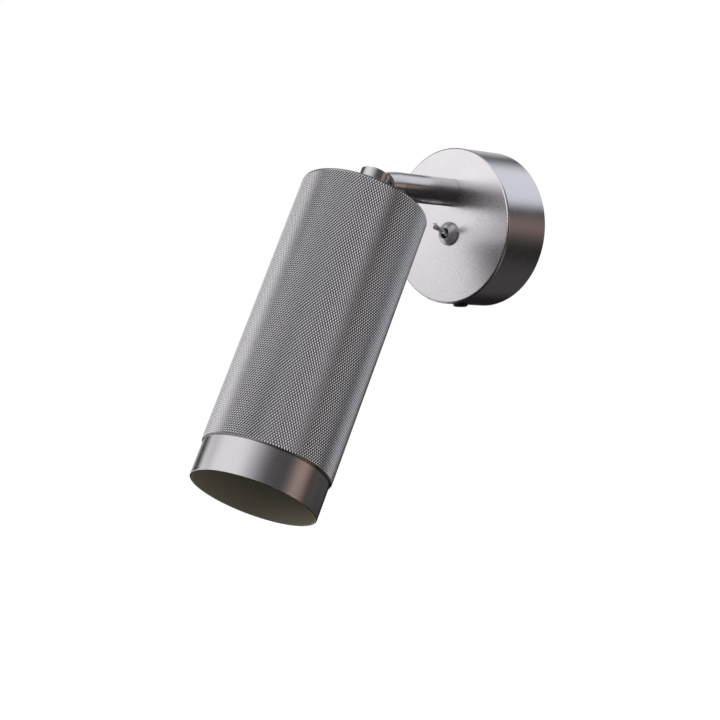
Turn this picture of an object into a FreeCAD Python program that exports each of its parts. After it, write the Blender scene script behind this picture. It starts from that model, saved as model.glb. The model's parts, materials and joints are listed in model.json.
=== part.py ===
# Wall light with a tubular shade on a tilting, turning arm.
#
# Frame: the wall is the plane Y = 0 and the light stands out of it towards -Y. +X is to the right and +Z is
# up for somebody who faces the wall. The origin is the centre of the canopy's rim. Lengths are millimetres.
#
# Three local frames carry the pieces. In each one the pieces are turned about the local Z axis:
#   canopy frame  Z out of the wall, Y up, origin on the wall at the canopy's centre
#   arm frame     the same, raised to the arm's axis
#   head frame    Z down the shade, Y square to it and forward, origin on the tilt pivot
import FreeCAD, Part
import math
import os
import Sketcher

doc = FreeCAD.newDocument("TubeWallLight")
sheet = doc.addObject("Spreadsheet::Sheet", "Sizes")
pieces = []


class Size:
    """A length or angle: its number now, and the spreadsheet formula that it is bound to."""

    def __init__(self, value, text):
        self.value = float(value)
        self.text = text

    def __add__(self, other):
        other = as_size(other)
        return Size(self.value + other.value, "(%s + %s)" % (self.text, other.text))

    def __sub__(self, other):
        other = as_size(other)
        return Size(self.value - other.value, "(%s - %s)" % (self.text, other.text))

    def __mul__(self, other):
        other = as_size(other)
        return Size(self.value * other.value, "(%s * %s)" % (self.text, other.text))

    def __truediv__(self, other):
        other = as_size(other)
        return Size(self.value / other.value, "(%s / %s)" % (self.text, other.text))

    def __neg__(self):
        return Size(-self.value, "(0 - %s)" % self.text)


def as_size(number):
    return number if isinstance(number, Size) else Size(number, "%.6g" % number)


def size(alias, value, meaning):
    """Writes one driving size into the next row of the sheet."""
    row = size.rows = getattr(size, "rows", 0) + 1
    sheet.set("A%d" % row, meaning)
    sheet.set("B%d" % row, "%g" % value)
    sheet.setAlias("B%d" % row, alias)
    return Size(value, "Sizes." + alias)


# ---- driving sizes
canopy_r = size("canopy_radius", 40.0, "canopy, outer radius")
canopy_depth = size("canopy_depth", 28.6, "canopy, wall to front face")
canopy_wall = size("canopy_wall", 1.2, "canopy, sheet thickness")
canopy_round = size("canopy_round", 1.0, "canopy, rounding of the front edge")

plate_inset = size("plate_inset", 6.0, "canopy's outer face to the edge of the wall plate's round part")
plate_t = size("plate_thickness", 1.5, "wall plate, sheet thickness")
tab_half = size("tab_half_width", 8.0, "wall plate, half the width of a bent tab")
tab_reach = size("tab_reach", 24.0, "wall plate, wall to a tab's end")
tab_inset = size("tab_inset", 2.1, "canopy's outer face to a tab's outer face")
slot_spacing = size("slot_spacing", 50.0, "wall plate, screw slot to screw slot")
slot_r = size("slot_half_width", 2.25, "wall plate, half the width of a screw slot")
slot_length = size("slot_length", 12.0, "wall plate, end to end length of a screw slot")
cable_hole_r = size("cable_hole_radius", 7.0, "wall plate, radius of the cable hole")
cable_hole_up = size("cable_hole_height", 15.0, "wall plate, cable hole above the centre")
earth_side = size("earth_side", 17.0, "earth screw, distance beside the centre")
earth_up = size("earth_height", 17.0, "earth screw, height above the centre")

side_screw_out = size("side_screw_distance", 18.9, "wall to the side screw's axis")
side_head_r = size("side_head_radius", 3.8, "side screw, head radius")
side_head_t = size("side_head_height", 1.3, "side screw, head height")
side_shank_r = size("side_shank_radius", 2.0, "side screw, shank radius")
side_shank = size("side_shank_length", 7.0, "side screw, shank length")

arm_up = size("arm_height", 17.1, "arm's axis above the canopy's centre")
arm_r = size("arm_radius", 7.2, "arm pipe, outer radius")
arm_wall = size("arm_wall", 1.2, "arm pipe, wall thickness")
arm_length = size("arm_length", 39.4, "arm pipe, canopy face to seam")
arm_foot_round = size("arm_foot_round", 0.5, "arm pipe, rounding of its edge at the canopy")
stud_r = size("stud_radius", 5.0, "threaded studs of arm and shade, radius")
stud_bore_r = size("stud_bore_radius", 3.2, "threaded studs of arm and shade, bore radius")
stud_length = size("stud_length", 8.6, "arm stud, length behind the canopy face")
plug_length = size("plug_length", 7.0, "depth of the plugs in both ends of the arm pipe")
washer_r = size("washer_radius", 8.6, "washers on the studs, outer radius")
washer_t = size("washer_thickness", 0.8, "washers on the studs, thickness")
nut_flats = size("nut_flats", 14.0, "nuts on the studs, across flats")
nut_t = size("nut_thickness", 3.0, "nuts on the studs, thickness")

swivel_r = size("swivel_radius", 4.0, "swivel stud of the upper knuckle, radius")
swivel_bore_r = size("swivel_bore_radius", 2.4, "swivel stud, bore radius")
swivel_washer_t = size("swivel_washer_thickness", 0.6, "swivel washer, thickness")
swivel_nut_t = size("swivel_nut_thickness", 2.6, "swivel nut, thickness")
swivel_nut_gap = size("swivel_nut_gap", 0.4, "swivel nut, clearance in the arm pipe")
swivel_end = size("swivel_end", 0.6, "swivel stud, length beyond its nut")

neck_reach = size("neck_reach", 18.05, "seam to the tilt pivot")
neck_taper = size("neck_taper", 0.6, "upper knuckle, loss of radius towards the saddle")
boss_r = size("boss_radius", 7.45, "lower knuckle, boss radius")
boss_above = size("boss_above", 5.5, "lower knuckle, boss top above the pivot")
boss_below = size("boss_below", 10.6, "lower knuckle, pivot to shade top")
slot_wall = size("slot_wall", 1.95, "lower knuckle, wall left in front of the slot")
tongue_half = size("tongue_half", 3.0, "upper knuckle, half the tongue's thickness")
tongue_side_gap = size("tongue_side_gap", 0.1, "clearance on each side of the tongue")
channel_half = size("channel_half", 1.4, "wire channel of the tongue, half width")
tongue_bridge = size("tongue_bridge", 1.6, "tongue, thickness of the bridge over the channel")
pivot_r = size("pivot_radius", 1.75, "pivot screw, shank radius")
pivot_head_r = size("pivot_head_radius", 3.2, "pivot screw, head radius")
pivot_head_t = size("pivot_head_height", 1.8, "pivot screw, head height")
pivot_sunk = size("pivot_sunk", 0.9, "pivot screw, head's depth below the boss's side")
pivot_tip = size("pivot_tip", 6.0, "pivot screw, end beyond the middle of the boss")

head_lean_deg = size("head_lean_deg", 26.4, "shade's tilt out of plumb, in degrees")
shade_r = size("shade_radius", 32.5, "outer tube, radius over the knurl")
shade_wall = size("shade_wall", 0.8, "outer and inner tube, wall thickness")
shade_top = size("shade_top", 1.2, "outer and inner tube, thickness of the closed top")
shade_round = size("shade_round", 0.5, "outer tube, rounding of the top rim")
shade_length = size("shade_length", 142.4, "outer tube, length")
ring_length = size("ring_length", 17.9, "inner tube, length that shows below the outer tube")
lip_round = size("lip_round", 0.25, "inner tube, rounding of both edges of its mouth")
tube_gap = size("tube_gap", 0.1, "clearance between the two tubes")
spigot_length = size("spigot_length", 14.0, "lower knuckle, threaded spigot below the shade's top face")

holder_r = size("holder_radius", 12.4, "lampholder, outer radius")
holder_length = size("holder_length", 38.0, "lampholder, length")
holder_bevel = size("holder_bevel", 1.5, "lampholder, bevel of its top edge")
holder_floor = size("holder_floor", 11.0, "lampholder, top to the floor of its socket")
sleeve_r = size("sleeve_radius", 7.0, "lampholder's threaded sleeve, inner radius")
sleeve_wall = size("sleeve_wall", 0.6, "lampholder's threaded sleeve, wall thickness")
sleeve_length = size("sleeve_length", 18.0, "lampholder's threaded sleeve, length")
sleeve_inset = size("sleeve_inset", 1.5, "lampholder's threaded sleeve, depth inside the mouth")
contact_r = size("contact_radius", 2.6, "centre contact, radius")
contact_t = size("contact_height", 2.5, "centre contact, height")
lamp_cap_r = size("lamp_cap_radius", 6.9, "lamp cap, radius")
lamp_cap_length = size("lamp_cap_length", 23.5, "lamp cap, length")
lamp_tip_r = size("lamp_tip_radius", 2.2, "lamp cap, radius of the end contact")
lamp_tip = size("lamp_tip", 2.0, "lamp cap, length of the end contact")
bulb_neck_r = size("bulb_neck_radius", 8.2, "bulb, radius at the neck")
bulb_r = size("bulb_radius", 22.5, "bulb, radius of the globe")
bulb_length = size("bulb_length", 56.0, "bulb, neck to the end of the globe")
bulb_wall = size("bulb_wall", 1.0, "bulb, glass thickness")

switch_down = size("switch_depth_below", 4.1, "switch axis below the canopy's centre")
bushing_r = size("bushing_radius", 4.0, "switch bushing, radius")
bushing_bore_r = size("bushing_bore_radius", 2.3, "switch bushing, bore radius")
bushing_out = size("bushing_out", 2.9, "switch bushing, length in front of the canopy face")
inner_nut_flats = size("inner_nut_flats", 11.0, "switch's inner nut, across flats")
inner_nut_t = size("inner_nut_thickness", 2.0, "switch's inner nut, thickness")
bushing_back = size("bushing_back", 2.0, "switch bushing, length behind the inner nut")
dress_r = size("dress_radius", 6.1, "dress nut, base radius")
dress_rim = size("dress_rim", 0.8, "dress nut, height of its straight rim")
dress_t = size("dress_height", 3.8, "dress nut, height")
dress_mouth_r = size("dress_mouth_radius", 2.75, "dress nut, radius of its mouth")
dress_edge = size("dress_edge", 0.5, "dress nut, width of its flat front edge")
dress_bevel = size("dress_bevel", 0.4, "dress nut, depth of the bevel in its mouth")
switch_half_wide = size("switch_half_width", 6.6, "switch body, half its width")
switch_half_high = size("switch_half_height", 9.5, "switch body, half its height")
switch_clear = size("switch_clearance", 2.7, "wall plate to the ends of the switch terminals")
blade_half = size("blade_half", 2.4, "switch terminal, half its width")
blade_t = size("blade_thickness", 0.8, "switch terminal, thickness")
blade_length = size("blade_length", 5.6, "switch terminal, length")
blade_apart = size("blade_spacing", 9.0, "switch terminals, distance apart")
lever_pivot = size("lever_pivot", 1.8, "lever's pivot in front of the canopy face")
lever_lean_deg = size("lever_lean_deg", 19.5, "lever's tilt up from the switch axis, in degrees")
lever_ball_r = size("lever_ball_radius", 2.1, "lever, radius of its ball")
lever_neck_r = size("lever_neck_radius", 1.25, "lever, radius of its neck")
lever_tip_r = size("lever_tip_radius", 1.65, "lever, radius of its tip")
lever_reach = size("lever_reach", 9.6, "lever, pivot to the centre of its tip")
lever_tip_length = size("lever_tip_length", 4.6, "lever, length over which it swells to its tip")
lever_tail = size("lever_tail", 2.6, "lever, length behind its pivot")

block_half_wide = size("block_half_width", 13.0, "terminal block, half its width")
block_high = size("block_height", 10.0, "terminal block, height")
block_deep = size("block_depth", 13.0, "terminal block, depth")
block_inset = size("block_inset", 16.0, "terminal block, middle above the canopy's lowest point")
pole_apart = size("pole_spacing", 8.5, "terminal block, pole to pole")
wire_hole_r = size("wire_hole_radius", 1.7, "terminal block, radius of a wire hole")
clamp_r = size("clamp_radius", 1.6, "terminal block, radius of a clamp screw")
clamp_length = size("clamp_length", 4.5, "terminal block, length of a clamp screw")
small_head_r = size("small_head_radius", 2.2, "block's fixing screw, head radius")
small_head_t = size("small_head_height", 1.0, "block's fixing screw, head height")
small_shank_r = size("small_shank_radius", 1.2, "block's fixing screw, shank radius")
earth_head_r = size("earth_head_radius", 3.4, "earth screw, head radius")
earth_head_t = size("earth_head_height", 2.2, "earth screw, head height")

thread_gap = size("thread_gap", 0.05, "clearance round a screw or stud in its thread")
hole_gap = size("hole_gap", 0.2, "clearance round a screw or stud in a plain hole")
running_gap = size("running_gap", 0.08, "clearance of a pivot or swivel")
seat_gap = size("seat_gap", 0.05, "clearance under a clamped face that must still turn")
swing_gap = size("swing_gap", 0.3, "clearance between faces that swing past each other")
doc.recompute()


# ---- the three frames
square = as_size(90)
pivot_out = canopy_depth + arm_length + neck_reach
canopy_frame = (as_size(0), as_size(0), square)
arm_frame = (as_size(0), arm_up, square)
head_frame = (-pivot_out, arm_up, as_size(180) - head_lean_deg)
switch_frame = (-canopy_depth, -switch_down, square)
lever_frame = (-canopy_depth - lever_pivot, -switch_down, square - lever_lean_deg)
side_screw_frame = (-side_screw_out, as_size(0), as_size(180))


def place(piece, frame):
    """Puts a piece into its frame: a turn about X, then a move in the plane X = 0."""
    out, up, angle = frame
    piece.Placement = FreeCAD.Placement(
        FreeCAD.Vector(0, out.value, up.value), FreeCAD.Rotation(FreeCAD.Vector(1, 0, 0), angle.value)
    )
    piece.setExpression("Placement.Base.y", out.text)
    piece.setExpression("Placement.Base.z", up.text)
    piece.setExpression("Placement.Rotation.Angle", angle.text)
    pieces.append(piece)
    return piece


# ---- sketches and features
def new_sketch(body, role, offset=None):
    """An empty sketch on one of the body's own origin planes, or parallel to it at an offset."""
    plane = [item for item in body.Origin.OriginFeatures if item.Role == role][0]
    sketch = body.newObject("Sketcher::SketchObject", body.Label + "_sketch")
    sketch.AttachmentSupport = [(plane, "")]
    sketch.MapMode = "FlatFace"
    if offset is not None:
        sketch.AttachmentOffset.Base.z = offset.value
        sketch.setExpression("AttachmentOffset.Base.z", offset.text)
    return sketch


def pin_point(sketch, edge, end, across, along):
    """Binds one end of an edge to its two coordinates."""
    for kind, length, axis in (("DistanceX", across, -2), ("DistanceY", along, -1)):
        if abs(length.value) < 1e-9:
            sketch.addConstraint(Sketcher.Constraint("PointOnObject", edge, end, axis))
        elif length.value > 0:
            row = sketch.addConstraint(Sketcher.Constraint(kind, -1, 1, edge, end, length.value))
            sketch.setExpression("Constraints[%d]" % row, length.text)
        else:
            row = sketch.addConstraint(Sketcher.Constraint(kind, edge, end, -1, 1, -length.value))
            sketch.setExpression("Constraints[%d]" % row, (-length).text)


def draw_outline(sketch, corners):
    """Draws a closed outline. A corner is (across, along), or (across, along, radius) where an arc of that
    radius leads to the next corner: it bulges to the right of the way there, or to the left if negative."""
    corners = [tuple(as_size(item) for item in corner) for corner in corners]
    first = sketch.GeometryCount
    starts = []
    for index, corner in enumerate(corners):
        after = corners[(index + 1) % len(corners)]
        start = FreeCAD.Vector(corner[0].value, corner[1].value, 0)
        end = FreeCAD.Vector(after[0].value, after[1].value, 0)
        if len(corner) == 2:
            edge = sketch.addGeometry(Part.LineSegment(start, end), False)
        else:
            radius = abs(corner[2].value)
            chord = end - start
            rise = radius - math.sqrt(max(radius ** 2 - (chord.Length / 2) ** 2, 0))
            bulge = FreeCAD.Vector(chord.y, -chord.x, 0).normalize() * math.copysign(rise, corner[2].value)
            edge = sketch.addGeometry(Part.Arc(start, (start + end) * 0.5 + bulge, end), False)
        starts.append(1 if sketch.getPoint(edge, 1).distanceToPoint(start) < 1e-6 else 2)
    count = len(corners)
    for index in range(count):
        after = (index + 1) % count
        sketch.addConstraint(
            Sketcher.Constraint("Coincident", first + index, 3 - starts[index], first + after, starts[after])
        )
    for index, corner in enumerate(corners):
        pin_point(sketch, first + index, starts[index], corner[0], corner[1])
        if len(corner) == 3:
            shape_arc(sketch, first + index, corner, corners[(index + 1) % count])


def shape_arc(sketch, edge, corner, after):
    """Fixes an arc between pinned ends: by its radius, or a half circle by its centre midway."""
    radius = corner[2] if corner[2].value > 0 else -corner[2]
    wide = after[0].value - corner[0].value
    high = after[1].value - corner[1].value
    if 2 * radius.value - math.hypot(wide, high) > 1e-6:
        row = sketch.addConstraint(Sketcher.Constraint("Radius", edge, radius.value))
        sketch.setExpression("Constraints[%d]" % row, radius.text)
        return
    along = abs(wide) > abs(high)
    middle = (corner[1] + after[1]) / 2 if along else (corner[0] + after[0]) / 2
    kind = "DistanceY" if along else "DistanceX"
    ends = (-1, 1, edge, 3) if middle.value > 0 else (edge, 3, -1, 1)
    middle = middle if middle.value > 0 else -middle
    row = sketch.addConstraint(Sketcher.Constraint(kind, *ends, middle.value))
    sketch.setExpression("Constraints[%d]" % row, middle.text)


def draw_circle(sketch, across, along, radius):
    """Draws a circle bound to its centre and radius."""
    across, along, radius = as_size(across), as_size(along), as_size(radius)
    centre = FreeCAD.Vector(across.value, along.value, 0)
    edge = sketch.addGeometry(Part.Circle(centre, FreeCAD.Vector(0, 0, 1), radius.value), False)
    pin_point(sketch, edge, 3, across, along)
    row = sketch.addConstraint(Sketcher.Constraint("Radius", edge, radius.value))
    sketch.setExpression("Constraints[%d]" % row, radius.text)


def turned(label, corners, frame):
    """A body turned about its local Z from an outline of (radius, distance along Z) corners."""
    body = doc.addObject("PartDesign::Body", label)
    sketch = new_sketch(body, "XZ_Plane")
    draw_outline(sketch, corners)
    turn = body.newObject("PartDesign::Revolution", label + "_turn")
    turn.Profile = sketch
    turn.ReferenceAxis = (sketch, ["V_Axis"])
    turn.Angle = 360
    return place(body, frame)


def padded(body, sketch, length, both_ways=False):
    """Pads a sketch of the body along its normal, or half each way."""
    pad = body.newObject("PartDesign::Pad", body.Label + "_pad")
    pad.Profile = sketch
    pad.SideType = "Symmetric" if both_ways else "One side"
    pad.setExpression("Length", length.text)
    return pad


def cut_sketch(body, sketch, length=None, reverse=False, both_ways=False):
    """Pockets a sketch of the body: right through if there is no length, else to that length along the
    sketch's back side, its front side (reverse) or half each way (both_ways). It has to remove metal."""
    doc.recompute()
    before = body.Shape.Volume
    pocket = body.newObject("PartDesign::Pocket", body.Label + "_pocket")
    pocket.Profile = sketch
    if length is None or both_ways:
        pocket.SideType = "Symmetric"
    if length is None:
        pocket.Type = "ThroughAll"
    else:
        pocket.Reversed = reverse
        pocket.setExpression("Length", length.text)
    doc.recompute()
    if body.Shape.Volume > before - 1e-3:
        raise ValueError("the cut in %s removes nothing" % body.Label)
    return pocket


def cut_circles(body, role, circles, offset=None, length=None, reverse=False):
    """Cuts round holes, each (across, along, radius) in that plane."""
    sketch = new_sketch(body, role, offset)
    for across, along, radius in circles:
        draw_circle(sketch, across, along, radius)
    return cut_sketch(body, sketch, length, reverse)


def cut_middle(body, corners, width):
    """Cuts an outline in the plane X = 0 out of the body, to that width across the plane."""
    sketch = new_sketch(body, "YZ_Plane")
    draw_outline(sketch, corners)
    return cut_sketch(body, sketch, width, both_ways=True)


def round_edges(body, radius, chosen, name="round"):
    """Rounds the edges of the body's last solid for which chosen(edge) is true."""
    doc.recompute()
    base = body.Tip
    names = ["Edge%d" % (i + 1) for i, edge in enumerate(base.Shape.Edges) if chosen(edge)]
    fillet = body.newObject("PartDesign::Fillet", body.Label + "_" + name)
    fillet.Base = (base, names)
    fillet.setExpression("Radius", radius.text)
    return fillet


def is_ring(edge, radius, along):
    """True for a full circle about local Z with that radius and distance along Z."""
    curve = edge.Curve
    return (
        isinstance(curve, Part.Circle)
        and abs(curve.Radius - radius.value) < 1e-4
        and abs(curve.Center.z - along.value) < 1e-4
        and math.hypot(curve.Center.x, curve.Center.y) < 1e-4
    )


def hex_nut(label, flats, bore_r, start, thickness, frame):
    """A hexagon nut about local Z: a prism with its bore cut out."""
    prism = doc.addObject("Part::Prism", label + "_prism")
    prism.Polygon = 6
    prism.setExpression("Circumradius", "%s / sqrt(3)" % flats.text)
    bore = doc.addObject("Part::Cylinder", label + "_bore")
    bore.setExpression("Radius", bore_r.text)
    for item in (prism, bore):
        item.setExpression("Height", thickness.text)
        item.setExpression("Placement.Base.z", start.text)
    nut = doc.addObject("Part::Cut", label)
    nut.Base = prism
    nut.Tool = bore
    return place(nut, frame)


def ring(label, inner, outer, start, thickness, frame):
    """A plain washer about local Z."""
    end = start + thickness
    return turned(label, [(inner, start), (outer, start), (outer, end), (inner, end)], frame)


# ---- canopy
face_back = canopy_depth - canopy_wall
canopy_inner_r = canopy_r - canopy_wall
canopy = turned(
    "canopy_cup",
    [
        (0, face_back),
        (canopy_inner_r, face_back),
        (canopy_inner_r, 0),
        (canopy_r, 0),
        (canopy_r, canopy_depth),
        (0, canopy_depth),
    ],
    canopy_frame,
)
round_edges(canopy, canopy_round, lambda edge: is_ring(edge, canopy_r, canopy_depth))
cut_circles(
    canopy,
    "XY_Plane",
    [(0, arm_up, stud_r + hole_gap), (0, -switch_down, bushing_r + hole_gap)],
)
cut_circles(
    canopy,
    "XZ_Plane",
    [(0, side_screw_out, side_shank_r + hole_gap)],
    length=canopy_r,
    reverse=True,
)

# ---- wall plate: a round sheet with a strip across it that is bent forward into two tabs. The canopy slides
# over both tabs, and one screw from below holds it to the lower one.
plate_r = canopy_r - plate_inset
tab_out = canopy_r - tab_inset
block_down = canopy_r - block_inset
tab_in = tab_out - plate_t
wall_plate = doc.addObject("PartDesign::Body", "wall_plate")
disc_sketch = new_sketch(wall_plate, "XY_Plane")
draw_circle(disc_sketch, 0, 0, plate_r)
padded(wall_plate, disc_sketch, plate_t)
strip_sketch = new_sketch(wall_plate, "YZ_Plane")
draw_outline(
    strip_sketch,
    [
        (-tab_out, 0),
        (tab_out, 0),
        (tab_out, tab_reach),
        (tab_in, tab_reach),
        (tab_in, plate_t),
        (-tab_in, plate_t),
        (-tab_in, tab_reach),
        (-tab_out, tab_reach),
    ],
)
padded(wall_plate, strip_sketch, tab_half * 2, both_ways=True)


def is_bend(edge, away, along):
    """True for a straight edge along X at that distance from the centre and from the wall."""
    ends = [vertex.Point for vertex in edge.Vertexes]
    return len(ends) == 2 and all(
        abs(abs(end.y) - away.value) < 1e-4 and abs(end.z - along.value) < 1e-4 for end in ends
    )


round_edges(wall_plate, plate_t * 1.6, lambda edge: is_bend(edge, tab_out, as_size(0)), "bend_outside")
round_edges(wall_plate, plate_t * 0.6, lambda edge: is_bend(edge, tab_in, plate_t), "bend_inside")
cut_circles(
    wall_plate,
    "XZ_Plane",
    [(0, side_screw_out, side_shank_r + thread_gap)],
    length=canopy_r,
    reverse=True,
)
cut_circles(
    wall_plate,
    "XY_Plane",
    [
        (0, cable_hole_up, cable_hole_r),
        (earth_side, earth_up, side_shank_r + thread_gap),
        (pole_apart / 2, -block_down, small_shank_r + thread_gap),
    ],
)
slot_straight = slot_length / 2 - slot_r
for side in (-1, 1):
    middle = slot_spacing * (side * 0.5)
    slot_sketch = new_sketch(wall_plate, "XY_Plane")
    draw_outline(
        slot_sketch,
        [
            (middle - slot_straight, -slot_r),
            (middle + slot_straight, -slot_r, slot_r),
            (middle + slot_straight, slot_r),
            (middle - slot_straight, slot_r, slot_r),
        ],
    )
    cut_sketch(wall_plate, slot_sketch)
place(wall_plate, canopy_frame)

# ---- side screw: its domed head under the canopy's rim, its shank in the lower tab
head_start = canopy_r + seat_gap
head_end = head_start + side_head_t
side_screw_lower = turned(
    "side_screw_lower",
    [
        (0, head_start - side_shank),
        (side_shank_r, head_start - side_shank),
        (side_shank_r, head_start),
        (side_head_r, head_start),
        (side_head_r, head_end),
        (0, head_end),
    ],
    side_screw_frame,
)
round_edges(side_screw_lower, side_head_t * 0.7, lambda edge: is_ring(edge, side_head_r, head_end))

# ---- arm: a pipe with a plug in each end, the rear one carrying the threaded stud
seam = canopy_depth + arm_length
arm_bore_r = arm_r - arm_wall
plug_r = arm_bore_r - thread_gap
arm_pipe = ring("arm_pipe", arm_bore_r, arm_r, canopy_depth, arm_length, arm_frame)
round_edges(arm_pipe, arm_foot_round, lambda edge: is_ring(edge, arm_r, canopy_depth))
turned(
    "arm_stud",
    [
        (stud_bore_r, canopy_depth - stud_length),
        (stud_r, canopy_depth - stud_length),
        (stud_r, canopy_depth),
        (plug_r, canopy_depth),
        (plug_r, canopy_depth + plug_length),
        (stud_bore_r, canopy_depth + plug_length),
    ],
    arm_frame,
)
ring("arm_washer", stud_r + hole_gap, washer_r, face_back - washer_t, washer_t, arm_frame)
hex_nut("arm_nut", nut_flats, stud_r + thread_gap, face_back - washer_t - nut_t, nut_t, arm_frame)
plug_back = seam - plug_length
ring("arm_bush", swivel_r + running_gap, plug_r, plug_back, plug_length, arm_frame)

# ---- upper knuckle: swivel stud, round neck with a hollow saddle, and a tongue that reaches the pivot
saddle_r = Size(
    math.hypot(boss_r.value, boss_above.value), "sqrt(%s ^ 2 + %s ^ 2)" % (boss_r.text, boss_above.text)
) + swing_gap
slot_front = boss_r - slot_wall
tongue_r = slot_front - swing_gap
washer_back = plug_back - seat_gap - swivel_washer_t
swivel_nut_back = washer_back - swivel_nut_t
swivel_back = swivel_nut_back - swivel_end
shoulder = seam + seat_gap
neck_end_r = arm_r - neck_taper
nose_end = pivot_out - boss_r - swing_gap
upper_knuckle = turned(
    "upper_knuckle",
    [
        (0, swivel_back),
        (swivel_r, swivel_back),
        (swivel_r, shoulder),
        (arm_r, shoulder),
        (arm_r, shoulder + neck_taper * 2),
        (neck_end_r, pivot_out - saddle_r),
        (neck_end_r, nose_end),
        (0, nose_end),
    ],
    arm_frame,
)
cut_circles(upper_knuckle, "YZ_Plane", [(0, pivot_out, saddle_r)])
tongue_sketch = new_sketch(upper_knuckle, "YZ_Plane")
tongue_root = pivot_out - saddle_r - neck_taper
draw_outline(
    tongue_sketch,
    [
        (-tongue_r, tongue_root),
        (tongue_r, tongue_root),
        (tongue_r, pivot_out, tongue_r),
        (-tongue_r, pivot_out),
    ],
)
padded(upper_knuckle, tongue_sketch, tongue_half * 2, both_ways=True)
cut_circles(upper_knuckle, "YZ_Plane", [(0, pivot_out, pivot_r + running_gap)])
channel_start = shoulder + neck_taper * 2
channel_end = pivot_out + tongue_r + swing_gap
channel_top = tongue_r - tongue_bridge
cut_middle(
    upper_knuckle,
    [
        (-channel_top, channel_start),
        (channel_top, channel_start),
        (channel_top, channel_end),
        (-tongue_r - swing_gap, channel_end),
        (-tongue_r - swing_gap, pivot_out),
        (-channel_top, pivot_out - tongue_r),
    ],
    channel_half * 2,
)
cut_circles(
    upper_knuckle,
    "XY_Plane",
    [(0, 0, swivel_bore_r)],
    offset=swivel_back,
    length=channel_start - swivel_back + neck_taper,
    reverse=True,
)
ring(
    "swivel_washer",
    swivel_r + thread_gap,
    arm_bore_r - swivel_nut_gap,
    washer_back,
    swivel_washer_t,
    arm_frame,
)
swivel_nut = ring(
    "swivel_nut",
    swivel_r + thread_gap,
    arm_bore_r - swivel_nut_gap,
    swivel_nut_back,
    swivel_nut_t,
    arm_frame,
)
cut_middle(
    swivel_nut,
    [
        (-arm_r, swivel_nut_back - swivel_end),
        (arm_r, swivel_nut_back - swivel_end),
        (arm_r, swivel_nut_back + swivel_end * 2),
        (-arm_r, swivel_nut_back + swivel_end * 2),
    ],
    swivel_end * 2,
)

# ---- lower knuckle: a round boss slotted from the back and top, with a hollow threaded spigot
top_face = boss_below
lower_knuckle = turned(
    "lower_knuckle",
    [
        (0, -boss_above),
        (boss_r, -boss_above),
        (boss_r, top_face),
        (stud_r, top_face),
        (stud_r, top_face + spigot_length),
        (0, top_face + spigot_length),
    ],
    head_frame,
)
cut_middle(
    lower_knuckle,
    [
        (-boss_r - swing_gap, -boss_above - swing_gap),
        (slot_front, -boss_above - swing_gap),
        (slot_front, 0, slot_front),
        (0, slot_front),
        (-boss_r - swing_gap, slot_front),
    ],
    (tongue_half + tongue_side_gap) * 2,
)
cut_circles(
    lower_knuckle,
    "XY_Plane",
    [(0, 0, stud_bore_r)],
    offset=slot_front - swing_gap,
    length=boss_below + spigot_length,
    reverse=True,
)
pivot_head_out = boss_r - pivot_sunk
pivot_seat = pivot_head_out - pivot_head_t
cut_circles(
    lower_knuckle,
    "YZ_Plane",
    [(0, 0, pivot_head_r + hole_gap)],
    offset=-boss_r,
    length=boss_r - pivot_seat,
    reverse=True,
)
cut_circles(
    lower_knuckle,
    "YZ_Plane",
    [(0, 0, pivot_r + thread_gap)],
    offset=-boss_r,
    length=boss_r + pivot_tip,
    reverse=True,
)

# ---- pivot screw: turned about its own axis, which lies along X in the head frame
pivot_screw = doc.addObject("PartDesign::Body", "pivot_screw")
pivot_sketch = new_sketch(pivot_screw, "XY_Plane")
draw_outline(
    pivot_sketch,
    [
        (-pivot_head_out, 0),
        (-pivot_head_out, pivot_head_r),
        (-pivot_seat - seat_gap, pivot_head_r),
        (-pivot_seat - seat_gap, pivot_r),
        (pivot_tip - seat_gap, pivot_r),
        (pivot_tip - seat_gap, 0),
    ],
)
pivot_turn = pivot_screw.newObject("PartDesign::Revolution", "pivot_screw_turn")
pivot_turn.Profile = pivot_sketch
pivot_turn.ReferenceAxis = (pivot_sketch, ["H_Axis"])
pivot_turn.Angle = 360
place(pivot_screw, head_frame)

# ---- shade: an outer tube and an inner tube, both closed at the top and clamped on the spigot
shade_end = top_face + shade_length
inner_top = top_face + shade_top
inner_r = shade_r - shade_wall - tube_gap
inner_floor = inner_top + shade_top
outer_tube = turned(
    "shade_outer_tube",
    [
        (stud_r + hole_gap, top_face),
        (shade_r, top_face),
        (shade_r, shade_end),
        (shade_r - shade_wall, shade_end),
        (shade_r - shade_wall, inner_top),
        (stud_r + hole_gap, inner_top),
    ],
    head_frame,
)
round_edges(outer_tube, shade_round, lambda edge: is_ring(edge, shade_r, top_face))
ring_end = shade_end + ring_length
inner_tube = turned(
    "shade_inner_tube",
    [
        (stud_r + hole_gap, inner_top),
        (inner_r, inner_top),
        (inner_r, ring_end),
        (inner_r - shade_wall, ring_end),
        (inner_r - shade_wall, inner_floor),
        (stud_r + hole_gap, inner_floor),
    ],
    head_frame,
)
round_edges(
    inner_tube,
    lip_round,
    lambda edge: is_ring(edge, inner_r, ring_end) or is_ring(edge, inner_r - shade_wall, ring_end),
)
ring("spigot_washer", stud_r + hole_gap, washer_r, inner_floor, washer_t, head_frame)
nut_start = inner_floor + washer_t
hex_nut("spigot_nut", nut_flats, stud_r + thread_gap, nut_start, nut_t, head_frame)

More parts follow.
